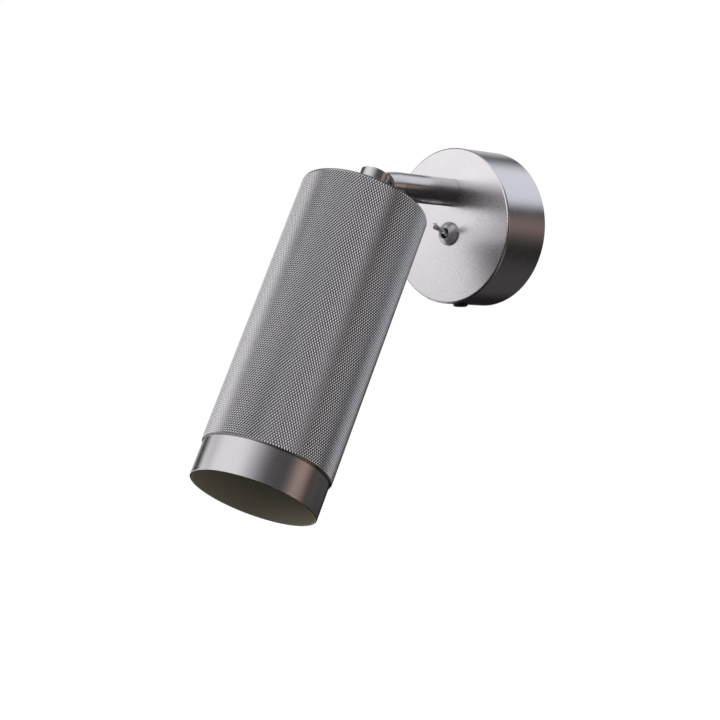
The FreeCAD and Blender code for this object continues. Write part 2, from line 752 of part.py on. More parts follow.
# ---- lampholder on the spigot's end, and the lamp in it
holder_start = nut_start + nut_t
holder_end = holder_start + holder_length
socket_r = sleeve_r + sleeve_wall + thread_gap
socket_floor = holder_start + holder_floor
thread_end = top_face + spigot_length
turned(
    "lampholder_body",
    [
        (stud_r + thread_gap, holder_start),
        (holder_r - holder_bevel, holder_start),
        (holder_r, holder_start + holder_bevel),
        (holder_r, holder_end),
        (socket_r, holder_end),
        (socket_r, socket_floor),
        (contact_r + thread_gap, socket_floor),
        (contact_r + thread_gap, thread_end),
        (stud_r + thread_gap, thread_end),
    ],
    head_frame,
)
ring(
    "lampholder_sleeve",
    sleeve_r,
    sleeve_r + sleeve_wall,
    holder_end - sleeve_length - sleeve_inset,
    sleeve_length,
    head_frame,
)
contact_end = socket_floor + contact_t
contact = turned(
    "lampholder_contact",
    [
        (0, socket_floor - contact_t / 2),
        (contact_r, socket_floor - contact_t / 2),
        (contact_r, contact_end),
        (0, contact_end),
    ],
    head_frame,
)
round_edges(contact, contact_t / 3, lambda edge: is_ring(edge, contact_r, contact_end))
lamp_start = contact_end + lamp_tip
turned(
    "lamp_cap",
    [
        (0, contact_end),
        (lamp_tip_r, contact_end),
        (lamp_cap_r, lamp_start),
        (lamp_cap_r, lamp_start + lamp_cap_length),
        (0, lamp_start + lamp_cap_length),
    ],
    head_frame,
)
neck_start = lamp_start + lamp_cap_length
bulb_end = neck_start + bulb_length
half_root = Size(math.sqrt(0.5), "sqrt(0.5)")
globe_middle = bulb_end - bulb_r
glass_r = bulb_r - bulb_wall
turned(
    "lamp_bulb",
    [
        (bulb_neck_r - bulb_wall, neck_start),
        (bulb_neck_r, neck_start),
        (bulb_neck_r, neck_start + bulb_neck_r),
        (bulb_r * half_root, globe_middle - bulb_r * half_root, bulb_r),
        (bulb_r, globe_middle, bulb_r),
        (0, bulb_end),
        (0, bulb_end - bulb_wall, -glass_r),
        (glass_r, globe_middle, -glass_r),
        (glass_r * half_root, globe_middle - glass_r * half_root),
        (bulb_neck_r - bulb_wall, neck_start + bulb_neck_r),
    ],
    head_frame,
)

# ---- switch: bushing through the canopy face, between an inner nut and a domed dress nut
nut_back = -canopy_wall - inner_nut_t
bushing_start = nut_back - bushing_back
switch_deep = canopy_depth + bushing_start - plate_t - switch_clear - blade_length
ring("switch_bushing", bushing_bore_r, bushing_r, bushing_start, bushing_out - bushing_start, switch_frame)
hex_nut("switch_inner_nut", inner_nut_flats, bushing_r + thread_gap, nut_back, inner_nut_t, switch_frame)
dress_top_r = dress_mouth_r + dress_edge
turned(
    "switch_dress_nut",
    [
        (bushing_r + thread_gap, 0),
        (dress_r, 0),
        (dress_r, dress_rim, dress_r),
        (dress_top_r, dress_t),
        (dress_mouth_r, dress_t - dress_bevel),
        (dress_mouth_r, bushing_out + thread_gap),
        (bushing_r + thread_gap, bushing_out + thread_gap),
    ],
    switch_frame,
)
switch_body = doc.addObject("PartDesign::Body", "switch_body")
case_sketch = new_sketch(switch_body, "XY_Plane", bushing_start - switch_deep)
draw_outline(
    case_sketch,
    [
        (-switch_half_wide, -switch_half_high),
        (switch_half_wide, -switch_half_high),
        (switch_half_wide, switch_half_high),
        (-switch_half_wide, switch_half_high),
    ],
)
padded(switch_body, case_sketch, switch_deep)
case_back = bushing_start - switch_deep
round_edges(
    switch_body,
    blade_t,
    lambda edge: abs(edge.Vertexes[0].Point.z - edge.Vertexes[-1].Point.z) > switch_deep.value / 2,
)
place(switch_body, switch_frame)
for number, side in ((1, -0.5), (2, 0.5)):
    blade = doc.addObject("PartDesign::Body", "switch_terminal_%d" % number)
    blade_sketch = new_sketch(blade, "XY_Plane", case_back - blade_length)
    up = blade_apart * side
    draw_outline(
        blade_sketch,
        [
            (-blade_half, up - blade_t / 2),
            (blade_half, up - blade_t / 2),
            (blade_half, up + blade_t / 2),
            (-blade_half, up + blade_t / 2),
        ],
    )
    padded(blade, blade_sketch, blade_length)
    cut_circles(blade, "XZ_Plane", [(0, case_back - blade_length * 0.55, blade_half * 0.4)])
    place(blade, switch_frame)
tip_start = lever_reach - lever_tip_length
ball_half = Size(
    math.sqrt(lever_ball_r.value ** 2 - lever_neck_r.value ** 2),
    "sqrt(%s ^ 2 - %s ^ 2)" % (lever_ball_r.text, lever_neck_r.text),
)
turned(
    "switch_lever",
    [
        (0, -lever_tail),
        (lever_neck_r, -lever_tail),
        (lever_neck_r, -ball_half, lever_ball_r),
        (lever_ball_r, 0, lever_ball_r),
        (lever_neck_r, ball_half),
        (lever_neck_r, tip_start),
        (lever_tip_r, lever_reach, lever_tip_r),
        (0, lever_reach + lever_tip_r),
    ],
    lever_frame,
)

# ---- terminal block on the wall plate, its screws, and the earth screw
terminal_block = doc.addObject("PartDesign::Body", "terminal_block")
block_sketch = new_sketch(terminal_block, "XY_Plane", plate_t)
block_low = -block_down - block_high / 2
block_top = -block_down + block_high / 2
draw_outline(
    block_sketch,
    [
        (-block_half_wide, block_low),
        (block_half_wide, block_low),
        (block_half_wide, block_top),
        (-block_half_wide, block_top),
    ],
)
padded(terminal_block, block_sketch, block_deep)
block_front = plate_t + block_deep
wire_line = plate_t + block_deep * 0.4
poles = [pole_apart * step for step in (-1, 0, 1)]
clamp_start = block_front - clamp_length
clamp_holes = [(pole, -block_down, clamp_r + thread_gap) for pole in poles]
cut_circles(terminal_block, "XY_Plane", clamp_holes, block_front, clamp_length)
cut_circles(terminal_block, "XZ_Plane", [(pole, wire_line, wire_hole_r) for pole in poles])
fixing_side = pole_apart / 2
cut_circles(terminal_block, "XY_Plane", [(fixing_side, -block_down, small_shank_r + hole_gap)])
place(terminal_block, canopy_frame)


def plate_screw(label, across, along, corners):
    """A small screw square to the wall plate, turned about a line beside the canopy's axis."""
    screw = turned(label, corners, canopy_frame)
    screw.Placement.Base.x = across.value
    screw.setExpression("Placement.Base.x", across.text)
    screw.Placement.Base.z = along.value
    screw.setExpression("Placement.Base.z", along.text)
    return screw


for number, pole in enumerate(poles, 1):
    plate_screw(
        "clamp_screw_%d" % number,
        pole,
        -block_down,
        [(0, clamp_start), (clamp_r, clamp_start), (clamp_r, block_front), (0, block_front)],
    )
plate_screw(
    "block_screw",
    fixing_side,
    -block_down,
    [
        (0, plate_t * 0.2),
        (small_shank_r, plate_t * 0.2),
        (small_shank_r, block_front),
        (small_head_r, block_front),
        (small_head_r, block_front + small_head_t),
        (0, block_front + small_head_t),
    ],
)
plate_screw(
    "earth_screw",
    earth_side,
    earth_up,
    [
        (0, plate_t * 0.2),
        (side_shank_r, plate_t * 0.2),
        (side_shank_r, plate_t),
        (earth_head_r, plate_t),
        (earth_head_r, plate_t + earth_head_t),
        (0, plate_t + earth_head_t),
    ],
)

# ---- check every object, then write one file per piece
doc.recompute()
for item in doc.Objects:
    if "Invalid" in item.State or "Error" in item.State:
        raise ValueError("%s failed to rebuild" % item.Label)
for piece in pieces:
    if piece.Shape.isNull() or not piece.Shape.isValid() or len(piece.Shape.Solids) != 1:
        raise ValueError("%s has no valid single solid" % piece.Label)

os.makedirs("parts", exist_ok=True)
total = 0.0
for piece in pieces:
    piece.Shape.exportStep("parts/%s.step" % piece.Label)
    total += piece.Shape.Volume
    box = piece.Shape.BoundBox
    print(
        "%-20s volume %9.1f  X %7.2f %7.2f  Y %7.2f %7.2f  Z %7.2f %7.2f"
        % (piece.Label, piece.Shape.Volume, box.XMin, box.XMax, box.YMin, box.YMax, box.ZMin, box.ZMax)
    )
print("%d pieces, %.0f cubic millimetres" % (len(pieces), total))
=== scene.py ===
# %% [markdown]
# # Tube wall light
# This lesson dresses a wall light: a round canopy, a short arm with a knuckle, and a long knurled shade.
# The construction arrives as a fixed frame in metres: +Z is up, the wall is the plane Y = 0 and the light
# stands out of it towards -Y. Everything below either paints a piece of that frame or stands in for one
# with a finer mesh in the same place.

import json
import math

import bmesh
import bpy
from mathutils import Matrix, Vector


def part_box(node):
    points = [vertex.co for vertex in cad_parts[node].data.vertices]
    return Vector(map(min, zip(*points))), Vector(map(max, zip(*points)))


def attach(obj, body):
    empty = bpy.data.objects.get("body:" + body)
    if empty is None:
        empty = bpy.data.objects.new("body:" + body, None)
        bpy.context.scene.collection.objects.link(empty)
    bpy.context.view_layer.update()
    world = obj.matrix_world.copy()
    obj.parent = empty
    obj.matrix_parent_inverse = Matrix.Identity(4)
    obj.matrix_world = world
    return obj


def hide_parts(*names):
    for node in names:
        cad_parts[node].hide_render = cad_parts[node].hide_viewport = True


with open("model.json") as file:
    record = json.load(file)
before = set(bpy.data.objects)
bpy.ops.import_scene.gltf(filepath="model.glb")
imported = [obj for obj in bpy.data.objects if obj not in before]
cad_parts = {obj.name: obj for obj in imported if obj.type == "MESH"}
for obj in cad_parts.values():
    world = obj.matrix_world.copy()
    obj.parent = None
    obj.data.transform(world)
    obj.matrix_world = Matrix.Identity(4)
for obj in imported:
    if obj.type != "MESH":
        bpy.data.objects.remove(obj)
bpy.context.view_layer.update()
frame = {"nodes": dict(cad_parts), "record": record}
nodes = frame["nodes"]
joints = {joint["name"]: joint for joint in frame["record"]["behaviour"]["joints"]}
scene = bpy.context.scene

# %% [markdown]
# ## Measures
# The sizes below could be typed in again, but they are read off the frame, so the finer meshes always sit
# where the solids are. The head's own axis runs from the tilt pivot down the shade and leans forward out of
# plumb. The lampholder's sleeve lies on that axis, so the way from the pivot to its middle gives the lean.

# %% Axes of the arm and the head
MM = 0.001
pivot = Vector(joints["head_tilt"]["pos_m"])
low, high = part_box("lampholder_sleeve")
head_axis = ((low + high) / 2 - pivot).normalized()
head_lean = math.atan2(-head_axis.y, -head_axis.z)
HEAD_TURN = math.pi - head_lean
head_matrix = Matrix.Translation(pivot) @ Matrix.Rotation(HEAD_TURN, 4, "X")
print("head leans %.2f degrees" % math.degrees(head_lean))


def along_head(name):
    """Nearest and farthest distance of a node's corners along the head's axis, from the pivot."""
    inverse = head_matrix.inverted()
    reach = [(inverse @ vertex.co).z for vertex in nodes[name].data.vertices]
    return min(reach), max(reach)


# %% [markdown]
# ## Turning axes
# Every metal piece is turned, and its fine lines run round its own axis. Three of these axes stand square on
# the wall, through the middle of the canopy, the arm and the switch, and one runs down the head. Each is kept
# as a point on it and a turn about X, because that is what the materials need later.

# %% Turning axes
WALL_TURN = math.pi / 2
lever_pivot = Vector(joints["switch_lever"]["pos_m"])
wall_axis = (0.0, 0.0, 0.0)
arm_axis = (0.0, 0.0, pivot.z)
switch_axis = (0.0, 0.0, lever_pivot.z)
head_origin = tuple(pivot)
canopy_low, canopy_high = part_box("canopy_cup")
canopy_face = canopy_low.y
print("canopy radius %.4f face at %.4f" % (canopy_high.x, canopy_face))

# %% [markdown]
# ## Camera
# The photograph looks at the light from the right and a little below, with a long lens. A camera placed by
# eye would match no outline, so this one was fitted to the outlines of the canopy, the arm and the shade.
# The three rows of its turn are the camera's right, up and back directions.


# %% Camera
def put_in_scene(name, data):
    """Makes an object of some data and links it to the scene."""
    made = bpy.data.objects.new(name, data)
    scene.collection.objects.link(made)
    return made


camera_data = bpy.data.cameras.new("photo_camera")
camera_data.sensor_width = 36.0
camera_data.lens = 102.934
camera_data.clip_start = 0.05
camera_data.clip_end = 30.0
camera_rows = Matrix(
    (
        (0.714402, 0.699539, 0.016579),
        (-0.005223, -0.018361, 0.999818),
        (0.699716, -0.714358, -0.009464),
    )
)
camera_place = Matrix.Translation((0.707146, -0.814231, -0.079656))
camera = put_in_scene("photo_camera", camera_data)
camera.matrix_world = camera_place @ camera_rows.transposed().to_4x4()
scene.camera = camera
print("lens %.1f mm" % camera_data.lens)

# %% [markdown]
# ## Node helpers
# Materials, the world and the studio are all made of shader nodes. Wiring them by hand takes three or four
# lines a node, so these helpers do it in one: each makes one node, plugs in numbers or other nodes' outputs,
# and hands back its output.


# %% Node helpers
def plug(tree, socket, value):
    """Sets a socket to a plain value, or links another node's output to it."""
    if isinstance(value, bpy.types.NodeSocket):
        tree.links.new(value, socket)
    elif isinstance(value, tuple) and len(value) == 3 and len(socket.default_value) == 4:
        socket.default_value = (*value, 1.0)
    else:
        socket.default_value = value


def add_node(tree, kind, *inputs, **options):
    """Adds a node, sets its options and fills its sockets in order."""
    made = tree.nodes.new("ShaderNode" + kind)
    for option, value in options.items():
        setattr(made, option, value)
    for socket, value in zip(made.inputs, inputs):
        plug(tree, socket, value)
    return made


def maths(tree, operation, *inputs):
    """One sum with numbers."""
    return add_node(tree, "Math", *inputs, operation=operation).outputs[0]


def vector_maths(tree, operation, *inputs):
    """One sum with vectors. A dot product and a length give a number."""
    made = add_node(tree, "VectorMath", *inputs, operation=operation)
    return made.outputs["Value"] if operation in ("DOT_PRODUCT", "LENGTH") else made.outputs[0]


def ramp(tree, source, start, end, low=0.0, high=1.0, smooth=True):
    """Runs from low to high while source runs from start to end."""
    kind = "SMOOTHSTEP" if smooth else "LINEAR"
    made = add_node(tree, "MapRange", source, start, end, low, high, interpolation_type=kind)
    return made.outputs["Result"]


def object_place(tree):
    """The shaded point, in the object's own coordinates."""
    return add_node(tree, "TexCoord").outputs["Object"]


# %% [markdown]
# ## Mixing helpers
# Finishes are blends: of two colours, of two values with a share each, or of one value and the noise that
# moves it. Nearly all of a noise lies between 0.3 and 0.7, so that is the stretch that gets spread out.

# %% Mixing helpers
NOISE_LOW, NOISE_HIGH = 0.3, 0.7


def blend_colours(tree, factor, first, second, kind="MIX"):
    """Goes from the first colour to the second, or adds the second to the first."""
    made = add_node(tree, "Mix", data_type="RGBA", blend_type=kind)
    colour_sockets = [socket for socket in made.inputs if socket.type == "RGBA"]
    plug(tree, made.inputs[0], factor)
    plug(tree, colour_sockets[0], first)
    plug(tree, colour_sockets[1], second)
    return next(socket for socket in made.outputs if socket.type == "RGBA")


def weighted(tree, first, first_share, second, second_share):
    """Adds two values, each times its own share."""
    first_part = maths(tree, "MULTIPLY", first, first_share)
    second_part = maths(tree, "MULTIPLY", second, second_share)
    return maths(tree, "ADD", first_part, second_part)


def noise(tree, vector, scale, detail, roughness):
    """A soft random pattern with values from 0 to 1."""
    made = add_node(tree, "TexNoise")
    plug(tree, made.inputs["Vector"], vector)
    for key, value in (("Scale", scale), ("Detail", detail), ("Roughness", roughness)):
        made.inputs[key].default_value = value
    return made.outputs["Fac"]


def around(tree, source, middle, swing):
    """A value that a noise moves about its middle by up to swing."""
    return ramp(tree, source, NOISE_LOW, NOISE_HIGH, middle - swing, middle + swing, smooth=False)


# %% [markdown]
# ## World
# The background is plain white. A white world would also light the object from all sides and wash it out,
# so the world has two backgrounds: a weak cool one that lights surfaces, and a white one that only the
# camera, reflections and glass see.

# %% World
SKY_FILL = ((0.95, 0.97, 1.0), 0.5)
SKY_SEEN = ((1.0, 1.0, 1.0), 1.0)
scene.view_settings.view_transform = "Standard"
world = bpy.data.worlds.new("white_studio")
scene.world = world
world.use_nodes = True
sky = world.node_tree
sky.nodes.clear()
ray = add_node(sky, "LightPath").outputs
mirrored = maths(sky, "MAXIMUM", ray["Is Glossy Ray"], ray["Is Transmission Ray"])
seen = maths(sky, "MAXIMUM", mirrored, ray["Is Camera Ray"])
fill = add_node(sky, "Background", *SKY_FILL)
white = add_node(sky, "Background", *SKY_SEEN)
chosen = add_node(sky, "MixShader", seen, fill.outputs[0], white.outputs[0])
add_node(sky, "OutputWorld", chosen.outputs[0])
print("world", world.name)

# %% [markdown]
# ## Floor
# A wall light hangs free, so the floor lies well below it and only keeps a soft shadow. A disc is enough.
# The metal doesn't mirror it, because the reflections have a room of their own.


# %% Floor
def to_mesh(form, name):
    """Turns a finished bmesh form into a mesh and frees the form."""
    mesh = bpy.data.meshes.new(name)
    form.to_mesh(mesh)
    form.free()
    return mesh


FLOOR_DROP = 0.55
FLOOR_RADIUS = 6.0
floor_form = bmesh.new()
bmesh.ops.create_circle(floor_form, cap_ends=True, segments=96, radius=FLOOR_RADIUS)
floor = put_in_scene("studio_floor", to_mesh(floor_form, "studio_floor"))
floor.location = (0, 0, -FLOOR_DROP)
floor.visible_glossy = False
print("floor at", floor.location.z)

# %% [markdown]
# ## Floor paint
# The floor has to look as white as the background, without throwing more light on the object. So it is plain
# pale paint to the light, and to the camera it is a glow with a thin grey veil that still takes the shadow.
# The glow reaches full white further out, and that hides where the floor ends.

# %% Floor paint
FLOOR_GREY = (0.9, 0.9, 0.9)
VEIL_GREY = (0.22, 0.22, 0.22)
GLOW_WHITE = (1.0, 1.0, 1.0)
GLOW_NEAR, GLOW_FAR = 0.86, 1.0
GLOW_RISES_FROM, GLOW_RISES_TO = 0.9, 1.9


def blank_material(name):
    """A material without any nodes yet, and its tree."""
    material = bpy.data.materials.new(name)
    material.use_nodes = True
    material.node_tree.nodes.clear()
    return material, material.node_tree


floor_paint, tree = blank_material("floor_paint")
lit = add_node(tree, "BsdfDiffuse", FLOOR_GREY)
veil = add_node(tree, "BsdfDiffuse", VEIL_GREY)
from_middle = vector_maths(tree, "LENGTH", object_place(tree))
strength = ramp(tree, from_middle, GLOW_RISES_FROM, GLOW_RISES_TO, GLOW_NEAR, GLOW_FAR)
glow = add_node(tree, "Emission", GLOW_WHITE, strength)
to_camera = add_node(tree, "AddShader", veil.outputs[0], glow.outputs[0])
by_ray = add_node(tree, "LightPath").outputs["Is Camera Ray"]
floor_shader = add_node(tree, "MixShader", by_ray, lit.outputs[0], to_camera.outputs[0])
add_node(tree, "OutputMaterial", floor_shader.outputs[0])
floor.data.materials.append(floor_paint)
print("floor glow", GLOW_NEAR, "to", GLOW_FAR)

# %% [markdown]
# ## Reflection dome
# Brushed metal is mostly a picture of the room round it, so the room matters more than the lamps. Panels set
# up one by one would each need a place and an aim. A large dome round the light is simpler: only reflections
# see it, and a direction is all that a patch of light on it needs.

# %% Reflection dome
LIGHT_MIDDLE = (0.0, -0.09, -0.05)
DOME_RADIUS = 4.0
dome_form = bmesh.new()
bmesh.ops.create_uvsphere(dome_form, u_segments=64, v_segments=32, radius=DOME_RADIUS)
dome = put_in_scene("reflection_dome", to_mesh(dome_form, "reflection_dome"))
dome.location = LIGHT_MIDDLE
for kind in ("camera", "diffuse", "transmission", "volume_scatter", "shadow"):
    setattr(dome, "visible_" + kind, False)
print("dome radius", DOME_RADIUS)

# %% [markdown]
# ## Patches of light
# Each patch on the dome is bounded by four soft edges. A painted picture could do this too, but edges with
# an angle and a softness are easy to move. An edge is a half space: the direction's dot product with the
# edge's normal says how far inside a direction lies. The four masks are multiplied, and the light is added.

# %% Patches of light
dome_paint, room = blank_material("dome_paint")
direction = vector_maths(room, "NORMALIZE", object_place(room))
level = vector_maths(room, "DOT_PRODUCT", direction, (0.0, 0.0, 1.0))


def side_edge(azimuth, softness, rising):
    """An upright edge at an azimuth. Azimuth 0 is straight out of the wall and 90 is to the right."""
    turn = math.radians(azimuth)
    normal = (math.cos(turn), math.sin(turn), 0.0)
    if not rising:
        normal = tuple(-part for part in normal)
    reach = math.sin(math.radians(softness))
    return ramp(room, vector_maths(room, "DOT_PRODUCT", direction, normal), -reach, reach)


def height_edge(elevation, softness, rising):
    """A level edge at an elevation over the horizon."""
    low_edge = math.sin(math.radians(elevation - softness))
    high_edge = math.sin(math.radians(min(elevation + softness, 90.0)))
    return ramp(room, level, low_edge, high_edge) if rising else ramp(room, level, high_edge, low_edge)


def patch(total, colour, left, right, bottom, top):
    """Adds a soft-edged patch of light to the dome. Each edge is its angle and its softness."""
    mask = maths(room, "MULTIPLY", side_edge(*left, True), side_edge(*right, False))
    mask = maths(room, "MULTIPLY", mask, height_edge(*bottom, True))
    mask = maths(room, "MULTIPLY", mask, height_edge(*top, False))
    return blend_colours(room, mask, total, blend_colours(room, 1.0, total, colour, "ADD"))


# %% [markdown]
# ## The room
# Eleven patches make the room that the metal mirrors: softboxes high, in front and low on the left, two pale
# ceilings on the right and behind, a warm panel on the right, faint hazes and a tall pale panel behind on
# the left. Everything between them is nearly black, which gives the metal its dark bands. A patch is a
# colour and its left, right, bottom and top edge, and each edge is an angle and a softness in degrees.

# %% The room
DARK_ROOM = (0.016, 0.015, 0.015)
PATCHES = {
    "high_softbox": ((1.04, 1.04, 1.08), (-62, 14), (40, 30), (26, 11), (89, 4)),
    "front_left_softbox": ((1.28, 1.28, 1.31), (-84, 9), (16, 16), (-1, 6), (26, 11)),
    "low_left_softbox": ((1.15, 1.15, 1.17), (-106, 6), (-62, 8), (-46, 8), (-8, 6)),
    "ceiling_behind": ((0.85, 0.89, 0.97), (126, 10), (195, 12), (21.5, 6), (80, 8)),
    "ceiling_right": ((0.85, 0.85, 0.88), (50, 15), (125, 10), (50, 7), (82, 6)),
    "warm_panel": ((0.50, 0.37, 0.33), (101, 14), (136, 14), (-6, 9), (14, 7)),
    "low_right": ((0.22, 0.21, 0.20), (62, 8), (132, 6), (-55, 8), (-22, 6)),
    "front_right_haze": ((0.085, 0.082, 0.085), (45, 20), (106, 10), (6, 8), (52, 8)),
    "behind_haze": ((0.10, 0.095, 0.092), (143, 8), (200, 10), (-14, 4), (12, 8)),
    "low_behind": ((0.055, 0.054, 0.053), (150, 15), (203, 8), (-58, 8), (-26, 6)),
    "left_behind": ((0.62, 0.62, 0.63), (-149, 6), (-109, 9), (-4, 5), (55, 12)),
}
painted = DARK_ROOM
for values in PATCHES.values():
    painted = patch(painted, *values)
dome_glow = add_node(room, "Emission", painted)
add_node(room, "OutputMaterial", dome_glow.outputs[0])
dome.data.materials.append(dome_paint)
print("dome patches", len(PATCHES))

# %% [markdown]
# ## Lamps
# The dome lights no surface, so two large area lamps do that: one in front on the left, and a weaker one
# above. They give the dull pieces their shape and the floor its shadow. Reflections leave the lamps out,
# because the dome already shows them something better.


# %% Lamps
def softbox(name, place, size, power):
    """A rectangular area lamp aimed at the light."""
    data = bpy.data.lights.new(name, "AREA")
    data.shape = "RECTANGLE"
    data.size, data.size_y = size
    data.energy = power
    aim = Vector(LIGHT_MIDDLE) - Vector(place)
    lamp = put_in_scene(name, data)
    lamp.matrix_world = Matrix.Translation(place) @ aim.to_track_quat("-Z", "Y").to_matrix().to_4x4()
    lamp.visible_glossy = False


softbox("front_left_lamp", place=(-0.9, -1.2, 0.7), size=(1.0, 1.6), power=18)
softbox("top_lamp", place=(0.4, -0.3, 1.4), size=(1.0, 1.0), power=12)

# %% [markdown]
# ## Directions on a turned piece
# The lines of turning and brushing run round a piece's own axis. To draw them, a material has to know where
# it is on that piece: how far along the axis, how far from it, and how far round. One shift and one turn
# about X bring the axis onto Z, and then all three can be read off.

# %% Directions on a turned piece
TANGENT_ASIDE = 0.03


def own_frame(tree, origin, turn):
    """Object coordinates whose Z runs along a piece's own axis, with their parts and the distance from it."""
    spin = add_node(tree, "VectorRotate", rotation_type="X_AXIS")
    plug(tree, spin.inputs["Vector"], vector_maths(tree, "SUBTRACT", object_place(tree), origin))
    plug(tree, spin.inputs["Angle"], -turn)
    x, y, z = add_node(tree, "SeparateXYZ", spin.outputs[0]).outputs
    radius = maths(tree, "SQRT", weighted(tree, x, x, y, y))
    return spin.outputs[0], (x, y, z), radius


def axis_tangent(tree, turn):
    """The piece's axis as a tangent, a touch aside so that it never lies along a flat end's normal."""
    axis = (TANGENT_ASIDE, -math.sin(turn), math.cos(turn))
    options = {"vector_type": "VECTOR", "convert_from": "OBJECT", "convert_to": "WORLD"}
    return add_node(tree, "VectorTransform", axis, **options).outputs[0]


# %% [markdown]
# ## Turned metal
# The canopy, arm, knuckle and ring are satin nickel with fine lines. A picture of scratches would need an
# unwrapped mesh. Instead a noise is squeezed across the lines and drawn out along them, and it varies the
# roughness, the tone and a tiny bump. The lines also stretch each highlight along the axis, and that is what
# anisotropy does when its tangent is the axis itself.

# %% Turned metal
LINE_LENGTH = 3.0
CLOUD_SCALE = 45.0
STREAK_SHARE, CLOUD_SHARE = 0.6, 0.4
TONE_SWING = 0.05
ROUGH_SWING = 0.06
BUMP_HEIGHT = 0.02 * MM


def fresh(name):
    """A new material, its tree and its main shader."""
    material = bpy.data.materials.new(name)
    material.use_nodes = True
    return material, material.node_tree, material.node_tree.nodes["Principled BSDF"]


def add_bump(tree, shader, height, strength):
    """Raises the surface a little where height is high."""
    bump = add_node(tree, "Bump")
    bump.inputs["Strength"].default_value = strength
    bump.inputs["Distance"].default_value = BUMP_HEIGHT
    plug(tree, bump.inputs["Height"], height)
    plug(tree, shader.inputs["Normal"], bump.outputs[0])
    return bump


def turned_metal(name, colour, origin, turn, rough, stretch, relief=0.12, lines=7000.0):
    """Metal whose fine lines run round the axis through origin, turned about X. Returns what edits need."""
    material, tree, shader = fresh(name)
    vector, (x, y, z), radius = own_frame(tree, origin, turn)
    across = maths(tree, "MULTIPLY", radius, lines)
    round_it = maths(tree, "MULTIPLY", maths(tree, "ARCTAN2", y, x), LINE_LENGTH)
    along = maths(tree, "MULTIPLY", z, lines)
    squeezed = add_node(tree, "CombineXYZ", across, round_it, along)
    streak = noise(tree, squeezed.outputs[0], 1.0, detail=3.0, roughness=0.6)
    cloud = noise(tree, vector, CLOUD_SCALE, detail=4.0, roughness=0.55)
    mixed = weighted(tree, streak, STREAK_SHARE, cloud, CLOUD_SHARE)
    tinted = vector_maths(tree, "MULTIPLY", colour, around(tree, mixed, 1.0, TONE_SWING))
    roughness = around(tree, mixed, rough, ROUGH_SWING)
    plug(tree, shader.inputs["Base Color"], tinted)
    plug(tree, shader.inputs["Roughness"], roughness)
    plug(tree, shader.inputs["Tangent"], axis_tangent(tree, turn))
    shader.inputs["Metallic"].default_value = 1.0
    shader.inputs["Anisotropic"].default_value = stretch
    bump = add_bump(tree, shader, streak, relief)
    made = {"vector": vector, "z": z, "radius": radius, "streak": streak}
    made.update({"colour": tinted, "rough": roughness, "bump": bump})
    return material, tree, shader, made


# %% [markdown]
# ## Arm and knuckle
# The pipe and the upper knuckle are turned about the arm's axis, and the lower knuckle about the head's. They
# could share one material, but the lines of each have to follow its own axis, so there are two. Both are a
# little shinier than the canopy, and the knuckle's lines are coarser.

# %% Arm and knuckle
NICKEL = (0.64, 0.615, 0.61)


def dress(material, *names):
    """Gives nodes of the frame one material."""
    for name in names:
        mesh = nodes[name].data
        mesh.materials.clear()
        mesh.materials.append(material)


arm_metal, *_ = turned_metal("arm_nickel", NICKEL, arm_axis, WALL_TURN, rough=0.23, stretch=0.3)
knuckle_metal, *_ = turned_metal(
    "knuckle_nickel", NICKEL, head_origin, HEAD_TURN, rough=0.21, stretch=0.4, lines=5000.0
)
dress(arm_metal, "arm_pipe", "upper_knuckle")
dress(knuckle_metal, "lower_knuckle")
print("metals", arm_metal.name, knuckle_metal.name)

# %% [markdown]
# ## Canopy finish
# The canopy is one pressed cup. Its face is finely blasted satin with no lines, and its side is brushed
# round. The cup would have to be cut for two materials, so one material does both: a mask along the axis,
# just behind the front face, fades the lines out and lets the face's own fine grain take over.

# %% Canopy finish
CANOPY_NICKEL = (0.69, 0.665, 0.68)
FACE_STARTS, FACE_IS_FULL = 1.0 * MM, 0.2 * MM
FACE_ROUGH, FACE_ROUGH_SWING = 0.28, 0.04
GRAIN_SCALE = 2600.0
canopy_metal, tree, shader, made = turned_metal(
    "canopy_nickel", CANOPY_NICKEL, wall_axis, WALL_TURN, rough=0.24, stretch=0.35
)
on_face = ramp(tree, made["z"], -canopy_face - FACE_STARTS, -canopy_face - FACE_IS_FULL)
on_side = maths(tree, "SUBTRACT", 1.0, on_face)
fine = noise(tree, made["vector"], GRAIN_SCALE, detail=2.0, roughness=0.6)
face_rough = around(tree, fine, FACE_ROUGH, FACE_ROUGH_SWING)
rough_mix = weighted(tree, made["rough"], on_side, face_rough, on_face)
plug(tree, shader.inputs["Roughness"], rough_mix)
plug(tree, made["bump"].inputs["Height"], weighted(tree, made["streak"], on_side, fine, on_face))
dress(canopy_metal, "canopy_cup")
print("canopy's side finish ends at %.4f" % (-canopy_face - FACE_STARTS))
